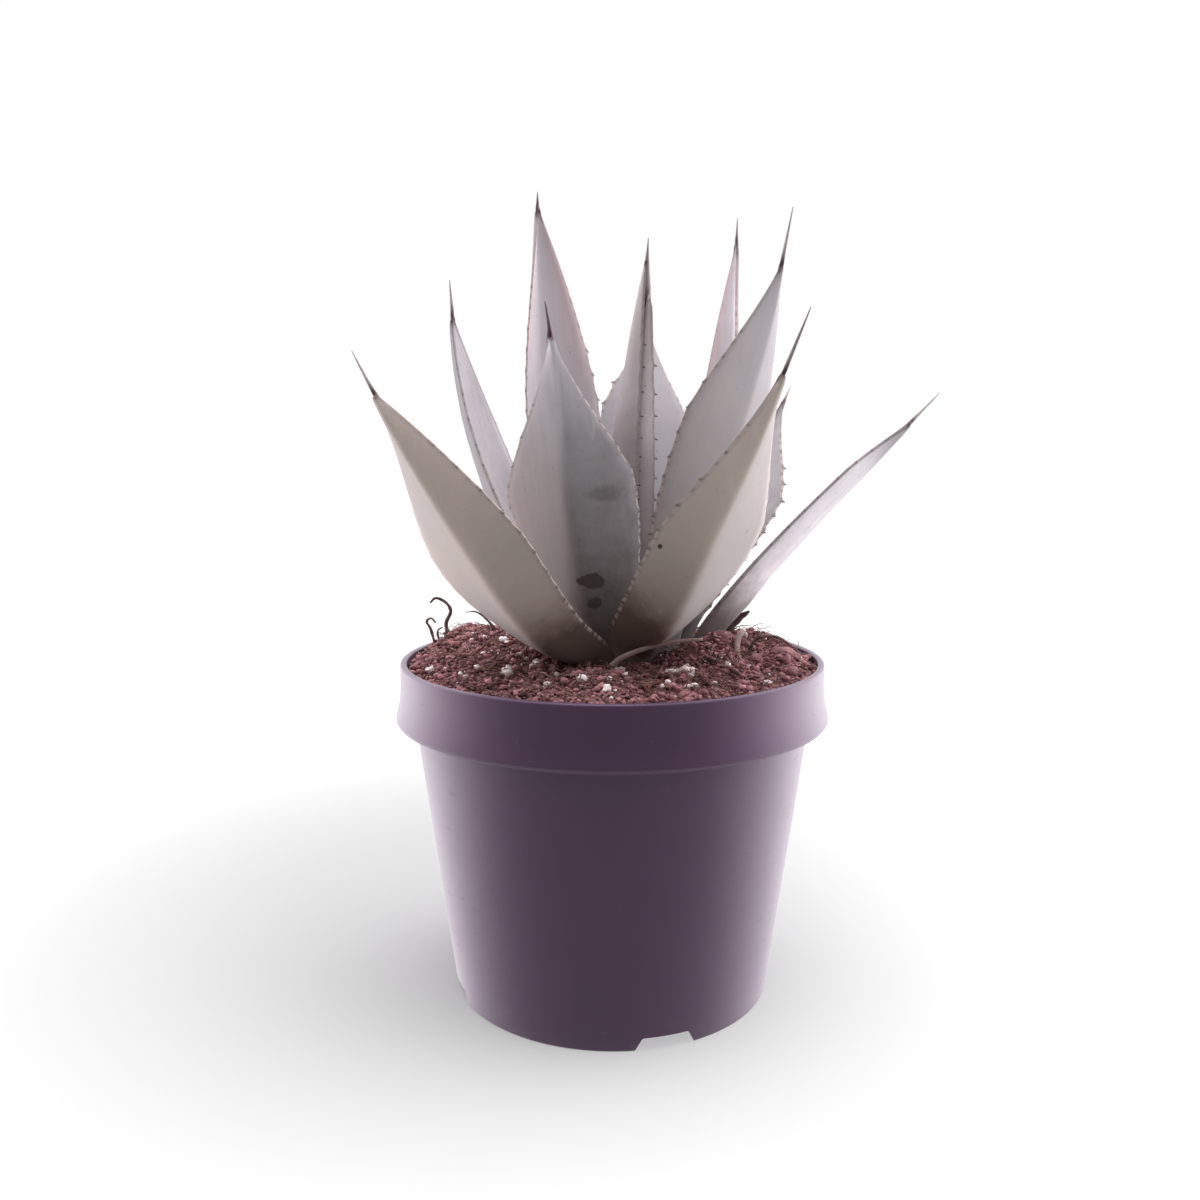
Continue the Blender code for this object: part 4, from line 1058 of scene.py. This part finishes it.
wax = Finish("leaf_wax", Specular_IOR_Level=0.0, Coat_Roughness=0.35)
along = wax.mark("along")
side = wax.mark("side")
edge = wax.mark("edge")
count = wax.mark("count")
warm = wax.mark("warm")
tooth = wax.mark("tooth")
foot_stain_and_shade = wax.mark("stain")
clouds = wax.grain(38.0, 4.0, 0.6)
blotches = wax.grain(130.0, 5.0, 0.65)
# Fibres run up the blade: fine across it and long along it
fibre_lanes = wax.node("ShaderNodeCombineXYZ", {}, {0: side * 0.42, 1: along * 1.6, 2: warm * 3.0})
fibre = wax.grain(1.0, 3.0, 0.6, fibre_lanes)
hairline = wax.grain(3.0, 2.0, 0.5, fibre_lanes)
warmth = (warm + (clouds - 0.5) * 0.7 + (fibre - 0.5) * 0.5).ease(0.0, 1.1)
flesh = wax.mix(warmth, BLOOM, TAN)
flesh = wax.mix((blotches.ease(0.55, 0.8) * 0.35).largest(wax.mark("blush") * 0.7), flesh, PINK)
# Worn bloom and painted shade darken the flesh, and painted light lightens it where the mark is below 0
wear_and_painted_shade = wax.mark("wear_and_painted_shade") * (0.5 + blotches * 0.7 + fibre * 0.3)
tone = 0.725 + clouds * 0.24 + fibre * 0.16 + blotches * 0.08 + hairline * 0.04
flesh = wax.shade(flesh, tone * (1.0 - wear_and_painted_shade * 0.42))
# The foot is browned: a real stain, and painted shade low among the leaves and the soil
foot = (along + (blotches - 0.5) * 0.12 + (clouds - 0.5) * 0.16).ease(0.36, 0.06) * foot_stain_and_shade
flesh = wax.mix(foot.maths("MINIMUM", foot, 0.85), flesh, FOOT_STAIN_SHADE)
# Faint prints of the next leaf's teeth, from when the leaves were pressed in the bud
tick = abs((count * 0.93 + 0.3).fract() - 0.5).ease(0.10, 0.03)
tick = tick * abs(edge - 5.2 - clouds * 3.0).ease(0.9, 0.3)
flesh = wax.mix(tick * 0.08, flesh, PRINT_BROWN)
# Specks and small marks of handling
speck = wax.grain(520.0, 2.0, 0.5).ease(0.735, 0.77)
flesh = wax.mix(speck * 0.45, flesh, SPECK_BROWN)
wiped = wax.grain(85.0, 5.0, 0.7, wax.stretched((1.0, 1.0, 0.45))).ease(0.62, 0.74)
flesh = wax.mix(wiped * 0.30, flesh, WIPED_BROWN)
rubbed = wax.grain(70.0, 4.0, 0.7, wax.stretched((1.0, 1.0, 0.3))).ease(0.63, 0.72)
flesh = wax.mix(rubbed * 0.22, flesh, RUBBED_PALE)
ragged = wax.grain(330.0, 4.0, 0.7)
for x, y, z, wide, tall, deep, soft in SCARS:
    gap = wax.vectors("SUBTRACT", wax.here, Vector((x, y, z)) * MM)
    far = wax.length(wax.vectors("DIVIDE", gap, Vector((wide, SCAR_THROUGH, tall)) * MM))
    scar = (far + (ragged - 0.5) * 1.5).ease(1.0 + soft, 1.0 - soft)
    flesh = wax.mix(scar * deep, flesh, SCAR_BROWN)
# The margin's pale line, its own pale horn and a painted highlight where light shines through the thin
# edge, is broken at each tooth
toothed = along.ease(0.06, 0.12) * along.ease(0.92, 0.80)
dashes = abs((count * 2.0 + blotches * 1.6).fract() - 0.5).ease(0.42, 0.30)
plain = 1.0 - wax.mark("dark_margin_and_shadow") * 0.85
between = abs(count.fract() - 0.5).ease(0.44, 0.36) * dashes
pale_edge_and_highlight = edge.ease(0.65, 0.35) * toothed * between * plain
# A dark band along the margin, horny margin and painted shadow where the margin lies in a fold or a gap;
# the pale line gives way to it
dark_margin_and_shadow = edge.ease(1.1, 0.5) * wax.mark("dark_margin_and_shadow") * along.ease(0.05, 0.15)
flesh = wax.mix(dark_margin_and_shadow * (0.45 + fibre * 0.5), flesh, MARGIN_GREY_AND_SHADOW)
flesh = wax.mix(edge.ease(0.65, 0.35) * toothed * (1.0 - dashes) * plain * 0.3, flesh, MARGIN_GREY_AND_SHADOW)
browned = edge.ease(0.7, 0.3) * toothed * abs(count.fract() - 0.5).ease(0.43, 0.48)
flesh = wax.mix(pale_edge_and_highlight * 0.7, flesh, MARGIN_PALE_HIGHLIGHT)
flesh = wax.mix((browned * 0.40).largest(tooth * 0.9), flesh, TOOTH_BROWN)
# The spine and the brown that runs from it down both margins
tipward = (along + (blotches - 0.5) * 0.02).ease(0.985, 1.004)
horny = tipward.largest(edge.ease(0.6, 0.2) * along.ease(0.965, 0.99) * 0.6)
greying = (along - 1.0).ease(0.005, 0.05) * (1.0 - wax.mark("horn") * 0.85)
spine_colour = wax.mix(greying, SPINE_DARK, SPINE_GREY)
wax.feed("Base Color", wax.mix(horny, flesh, spine_colour))
wax.feed("Roughness", 0.56 + clouds * 0.14 + blotches * 0.06 - horny * 0.14 - tooth * 0.1)
# The bloom is dull, and only the bare horn of spines and teeth has a little gloss
wax.feed("Coat Weight", horny.largest(tooth) * 0.5)
smoothed = (1.0 - horny) * (1.0 - tooth)
wax.bump((fibre + wax.grain(110.0, 1.0) * 0.8) * smoothed, 0.5, 0.06)

for name, leaf in LEAVES.items():
    leaf = USUAL_LEAF | leaf
    bm = with_marks(*MARKS)
    length = leaf["length"]
    teeth = [tooth_stops(length, first, TOOTH_LAST) for first in TOOTH_FIRST]
    for number, sign in ((0, -1.0), (1, 1.0)):
        for here in leaf_frames(leaf, teeth[number]):
            t, centre, ahead, sideways, inwards = here
            ring = blade_ring(leaf, here, teeth)[0]
            margin = ring[LEAF_HALF_RING] if sign > 0.0 else ring[-1]
            size = TOOTH_LONG * leaf["teeth"][number] * dice.uniform(0.6, 1.2)
            size *= 0.62 + 0.38 * min(1.0, t / 0.4)
            out = sideways * sign
            set_tooth(bm, margin - out * TOOTH_SUNK, out, ahead, size, t)
    foot_t = -SUNK_IN_STEM / length
    stops = [foot_t + (LEAF_TIP_FROM - foot_t) * i / LEAF_ROWS for i in range(LEAF_ROWS)]
    closing = [1.0 - (1.0 - i / LEAF_TIP_ROWS) ** 1.6 for i in range(LEAF_TIP_ROWS)]
    stops += [LEAF_TIP_FROM + (1.0 - LEAF_TIP_FROM) * share for share in closing]
    spine_share = leaf["spine"] / length
    stops += [1.0 + spine_share * (i / LEAF_SPINE_ROWS) for i in range(LEAF_SPINE_ROWS + 1)]
    rows = [blade_ring(leaf, here, teeth) for here in leaf_frames(leaf, stops)]
    skin(bm, [row[0] for row in rows], [row[1] for row in rows])
    bmesh.ops.recalc_face_normals(bm, faces=bm.faces)
    blade = into_scene("blade_" + name[5:], bm, wax.material, crease=70.0)
    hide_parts(name)

# Bud
# The youngest leaves are still furled round one leaning axis: an outer leaf wrapped
# from the left with its spine on top, a second one that shows as a strip in its
# opening, and a closed spear inside.
BUD_OUTER = dict(
    foot=(4.5, 0.0, 123.4), tip=(11.4, 0.0, 247.0), spine_from=231.0,
    radii=((123.4, 6.8), (140.0, 8.8), (155.0, 9.6), (168.0, 9.2), (187.0, 7.5), (204.0, 5.6),
           (220.0, 3.8), (228.0, 2.6), (234.0, 1.8), (240.0, 1.0)),
    opens=((123.4, 276.0), (180.0, 274.0), (237.0, 268.0)), closes=60.0, thick=1.3, top=240.0,
    dark=1.0, wear_and_painted_shade=0.1)
BUD_MIDDLE = dict(
    foot=(5.6, 0.0, 123.4), tip=(12.1, -1.2, 230.0), spine_from=225.0,
    radii=((123.4, 5.0), (145.0, 6.8), (164.0, 6.7), (184.0, 5.4), (201.0, 4.1), (212.0, 2.9),
           (219.0, 2.1), (224.0, 1.5), (228.0, 0.8)),
    opens=((123.4, 324.0), (180.0, 320.0), (228.0, 305.0)), closes=120.0, thick=1.1, top=228.0,
    dark=0.0, wear_and_painted_shade=-0.35)
BUD_STEPS = 56
BUD_ROWS = 130
BUD_KEEL = 6.0
BUD_SPINE_RINGS = 24
BUD_SPINE_SIDES = 16
BUD_TOOTH = 1.15
BUD_TOOTH_FIRST = 0.30
BUD_TOOTH_LAST = 0.80


def read_off(stops, z):
    """A value read off a short table of (height, value)."""
    if z <= stops[0][0]:
        return stops[0][1]
    for (low, a), (high, b) in zip(stops, stops[1:]):
        if z < high:
            return a + (b - a) * (z - low) / (high - low)
    return stops[-1][1]


def bud_axis(leaf, z):
    """The place of a furled leaf's axis at a height."""
    foot = Vector(leaf["foot"])
    tip = Vector(leaf["tip"])
    return foot.lerp(tip, (z - foot.z) / (tip.z - foot.z))


def bud_spine_radius(leaf, z):
    """Radius of a furled leaf's spine at a height."""
    root = read_off(leaf["radii"], leaf["spine_from"]) - 0.35
    share = min(1.0, (z - leaf["spine_from"]) / (leaf["tip"][2] - leaf["spine_from"]))
    return SPINE_POINT_R + (root - SPINE_POINT_R) * (1.0 - share) ** 1.25


def furl(leaf):
    """One furled leaf: a shell with thin margins, its teeth and its spine."""
    bm = with_marks(*MARKS)
    low = leaf["foot"][2]
    length = leaf["tip"][2] - low
    stops = tooth_stops(length, BUD_TOOTH_FIRST, BUD_TOOTH_LAST)
    rings = []
    marks = []
    for row in range(BUD_ROWS):
        z = low + (leaf["top"] - low) * row / (BUD_ROWS - 1)
        near = [read_off(leaf["radii"], z + shift) for shift in (-3.0, -1.5, 0.0, 1.5, 3.0)]
        radius = sum(near) / 5.0
        closing = eased((z - leaf["spine_from"]) / (leaf["top"] - leaf["spine_from"]))
        if closing > 0.0:
            radius = radius + (bud_spine_radius(leaf, z) + 0.04 - radius) * closing
        browning = 0.07 * closing * leaf["dark"]
        start = math.radians(read_off(leaf["opens"], z))
        end = math.radians(leaf["closes"])
        bump = margin_bump(stops, (z - low) / length, length)
        start += 0.6 * bump / radius
        centre = bud_axis(leaf, z)
        t = min((z - low) / length, 0.96 + leaf["dark"])
        # The furled leaves darken towards the foot, and the middle one is paler with painted light where
        # it lies in the outer one's shade
        worn_and_shaded = leaf["wear_and_painted_shade"] + eased(3.2 - 5.0 * t)
        outer = []
        inner = []
        outer_marks = []
        for i in range(BUD_STEPS + 1):
            share = i / BUD_STEPS
            angle = start + (end - start) * share
            way = outwards(angle)
            gap = min(share, 1.0 - share) * (start - end) * radius
            wall = min(radius * 0.6, MARGIN_THICK + (leaf["thick"] - MARGIN_THICK) * eased(gap / 5.0))
            lift = 0.35 * (1.0 - eased(gap / 2.2)) * (1.0 - closing)
            outer.append(centre + way * (radius + lift))
            inner.append(centre + way * (radius + lift - wall))
            # The furled margins carry the dark band, painted shadow in the gaps beside them
            mark = (
                t + browning, radius * angle, gap, tooth_count(stops, t), 0.35, 0.0, 0.2, 0.2, worn_and_shaded,
                0.7, 0.8)
            outer_marks.append(mark)
        rings.append(outer + inner[::-1])
        marks.append(outer_marks + outer_marks[::-1])
    for stop in stops:
        z = low + stop * length
        radius = read_off(leaf["radii"], z) + 0.2
        for margin, sign in ((read_off(leaf["opens"], z), 1.0), (leaf["closes"], -1.0)):
            way = outwards(math.radians(margin))
            past = Vector((-way.y, way.x, 0.0)) * sign
            root = bud_axis(leaf, z) + way * radius + past * 0.3
            out = (past + way * 0.5).normalized()
            set_tooth(bm, root, out, Vector((0.0, 0.0, 1.0)), BUD_TOOTH, stop)
    spine_rings = []
    spine_marks = []
    # The spine's root runs down inside the wrap as a narrowing keel
    keel_from = leaf["spine_from"] - BUD_KEEL
    for k in range(BUD_SPINE_RINGS):
        share = k / (BUD_SPINE_RINGS - 1)
        z = keel_from + (leaf["tip"][2] - keel_from) * share
        above = min(1.0, max(0.0, (z - keel_from) / BUD_KEEL))
        r = bud_spine_radius(leaf, max(z, leaf["spine_from"])) * (0.1 + 0.9 * above)
        centre = bud_axis(leaf, z)
        spine_rings.append([centre + outwards(turn) * r for turn in turns_round(BUD_SPINE_SIDES)])
        t = 0.95 + leaf["dark"] * (0.05 + 0.12 * share)
        spine_marks.append([(t, 0.0, 9.0, 0.5, 0.3, 0.0, 0.0, 0.0, 0.0, 0.7, 0.0)] * BUD_SPINE_SIDES)
    skin(bm, spine_rings, spine_marks)
    skin(bm, rings, marks)
    bmesh.ops.recalc_face_normals(bm, faces=bm.faces)
    return bm


for name, leaf in (("bud_outer", BUD_OUTER), ("bud_middle", BUD_MIDDLE)):
    furled = into_scene("furled" + name[3:], furl(leaf), wax.material, crease=70.0)
    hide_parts(name)

# The spear is closed, and the rolled edge of its outermost leaf is a low step on it
SPEAR_FOOT = 123.4
SPEAR_TOP = 214.0
SPEAR_R = 3.3
SPEAR_STEP = 0.25
SPEAR_ROWS = 60
SPEAR_SIDES = 24

bm = with_marks(*MARKS)
rings = []
marks = []
for row in range(SPEAR_ROWS):
    share = row / (SPEAR_ROWS - 1)
    z = SPEAR_FOOT + (SPEAR_TOP - SPEAR_FOOT) * share
    radius = max(SPINE_POINT_R, SPEAR_R * (1.0 - share ** 4))
    centre = bud_axis(BUD_MIDDLE, z)
    ring = []
    for turn in turns_round(SPEAR_SIDES):
        step = SPEAR_STEP * (1.0 - eased(turn / math.pi * 2.0))
        ring.append(centre + outwards(turn + share) * (radius + step))
    rings.append(ring)
    marks.append([(share * 0.9, 0.0, 9.0, 0.5, 0.3, 0.0, 0.0, 0.0, 0.4, 0.0, 0.0)] * SPEAR_SIDES)
skin(bm, rings, marks)
bmesh.ops.recalc_face_normals(bm, faces=bm.faces)
spear = into_scene("furled_spear", bm, wax.material, crease=70.0)
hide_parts("bud_core")

# Light and floor
# A white studio: bright walls beside and behind the plant, dimmer behind the camera,
# a soft light overhead and a white floor that glows out to pure white, with a painted
# shadow round the pot. Sizes are in metres.
LIGHT_FRONT = 0.20
LIGHT_WALLS = 4.3
LIGHT_ABOVE = 1.2
LIGHT_BELOW = 0.8
LIGHT_BAND = 0.5
WALL_DIMMED = 0.55
TOP_POWER = 8.0
TOP_WIDE = 0.9
TOP_PLACE = (0.0, 0.1, 1.1)
FLOOR_R = 4.0
SHADE_PLACE = (-0.06, 0.08, 0.0)
SHADE_INNER_R = 0.035
SHADE_OUTER_R = 0.27
BLACK = (0.0, 0.0, 0.0, 1.0)
WHITE = (1.0, 1.0, 1.0, 1.0)
FLOOR_GREY = (0.37, 0.37, 0.37, 1.0)
FLOOR_DARK = (0.05, 0.05, 0.05, 1.0)

world = bpy.data.worlds.new("studio")
world.use_nodes = True
world.node_tree.nodes.clear()
studio = Nodes(world.node_tree)
way = studio.node("ShaderNodeTexCoord", {}, {}, "Generated")
aside = studio.part(way, "X")
back = studio.part(way, "Y")
up = studio.part(way, "Z")
strength = LIGHT_FRONT + (back + aside * 0.06).ease(-0.50, 0.42) * (LIGHT_WALLS - LIGHT_FRONT)
# The wall straight behind is dimmer, so that the plant's back keeps its colour
strength = strength * (1.0 - back.ease(0.66, 0.95) * WALL_DIMMED)
# A brighter band low on the walls shows in the pot's collar
band = up.ease(-0.45, -0.25) * up.ease(0.05, -0.10) * back.ease(-0.8, -0.35)
strength = strength + band * LIGHT_BAND
strength = strength + up.ease(0.45, 0.95) * (LIGHT_ABOVE - strength)
strength = strength + up.ease(-0.25, -0.85) * (LIGHT_BELOW - strength)
glow = studio.node("ShaderNodeBackground", {}, {"Color": (1.0, 0.99, 1.0, 1.0), "Strength": strength})
white = studio.node("ShaderNodeBackground", {}, {"Color": WHITE})
seen = studio.node("ShaderNodeLightPath", {}, {}, "Is Camera Ray")
both = studio.node("ShaderNodeMixShader", {}, {0: seen, 1: glow, 2: white})
studio.node("ShaderNodeOutputWorld", {}, {"Surface": both})
bpy.context.scene.world = world
bpy.context.scene.view_settings.view_transform = "Standard"

panel = bpy.data.lights.new("panel_top", "AREA")
panel.shape = "SQUARE"
panel.size = TOP_WIDE
panel.energy = TOP_POWER
lamp = bpy.data.objects.new("panel_top", panel)
lamp.location = TOP_PLACE
lamp.visible_camera = False
bpy.context.scene.collection.objects.link(lamp)

bm = bmesh.new()
bmesh.ops.create_circle(bm, cap_ends=True, segments=96, radius=FLOOR_R)
paper = Finish("white_floor", Roughness=0.9, Specular_IOR_Level=0.1, Emission_Strength=1.0)
# The floor glows white away from the plant and less near it, round a centre off to the back left: a
# painted shadow over the floor's real shadow
away = paper.length(paper.vectors("SUBTRACT", paper.here, SHADE_PLACE))
painted_floor_glow = away.ease(SHADE_INNER_R, SHADE_OUTER_R)
paper.feed("Emission Color", paper.mix(painted_floor_glow, BLACK, WHITE))
paper.feed("Base Color", paper.mix(painted_floor_glow, FLOOR_GREY, FLOOR_DARK))
floor = bpy.data.objects.new("floor", into_mesh("floor", bm))
bpy.context.scene.collection.objects.link(floor)
floor.data.materials.append(paper.material)
# The floor throws no light of its own on the plant
floor.visible_diffuse = False
floor.visible_glossy = False
floor.visible_shadow = False
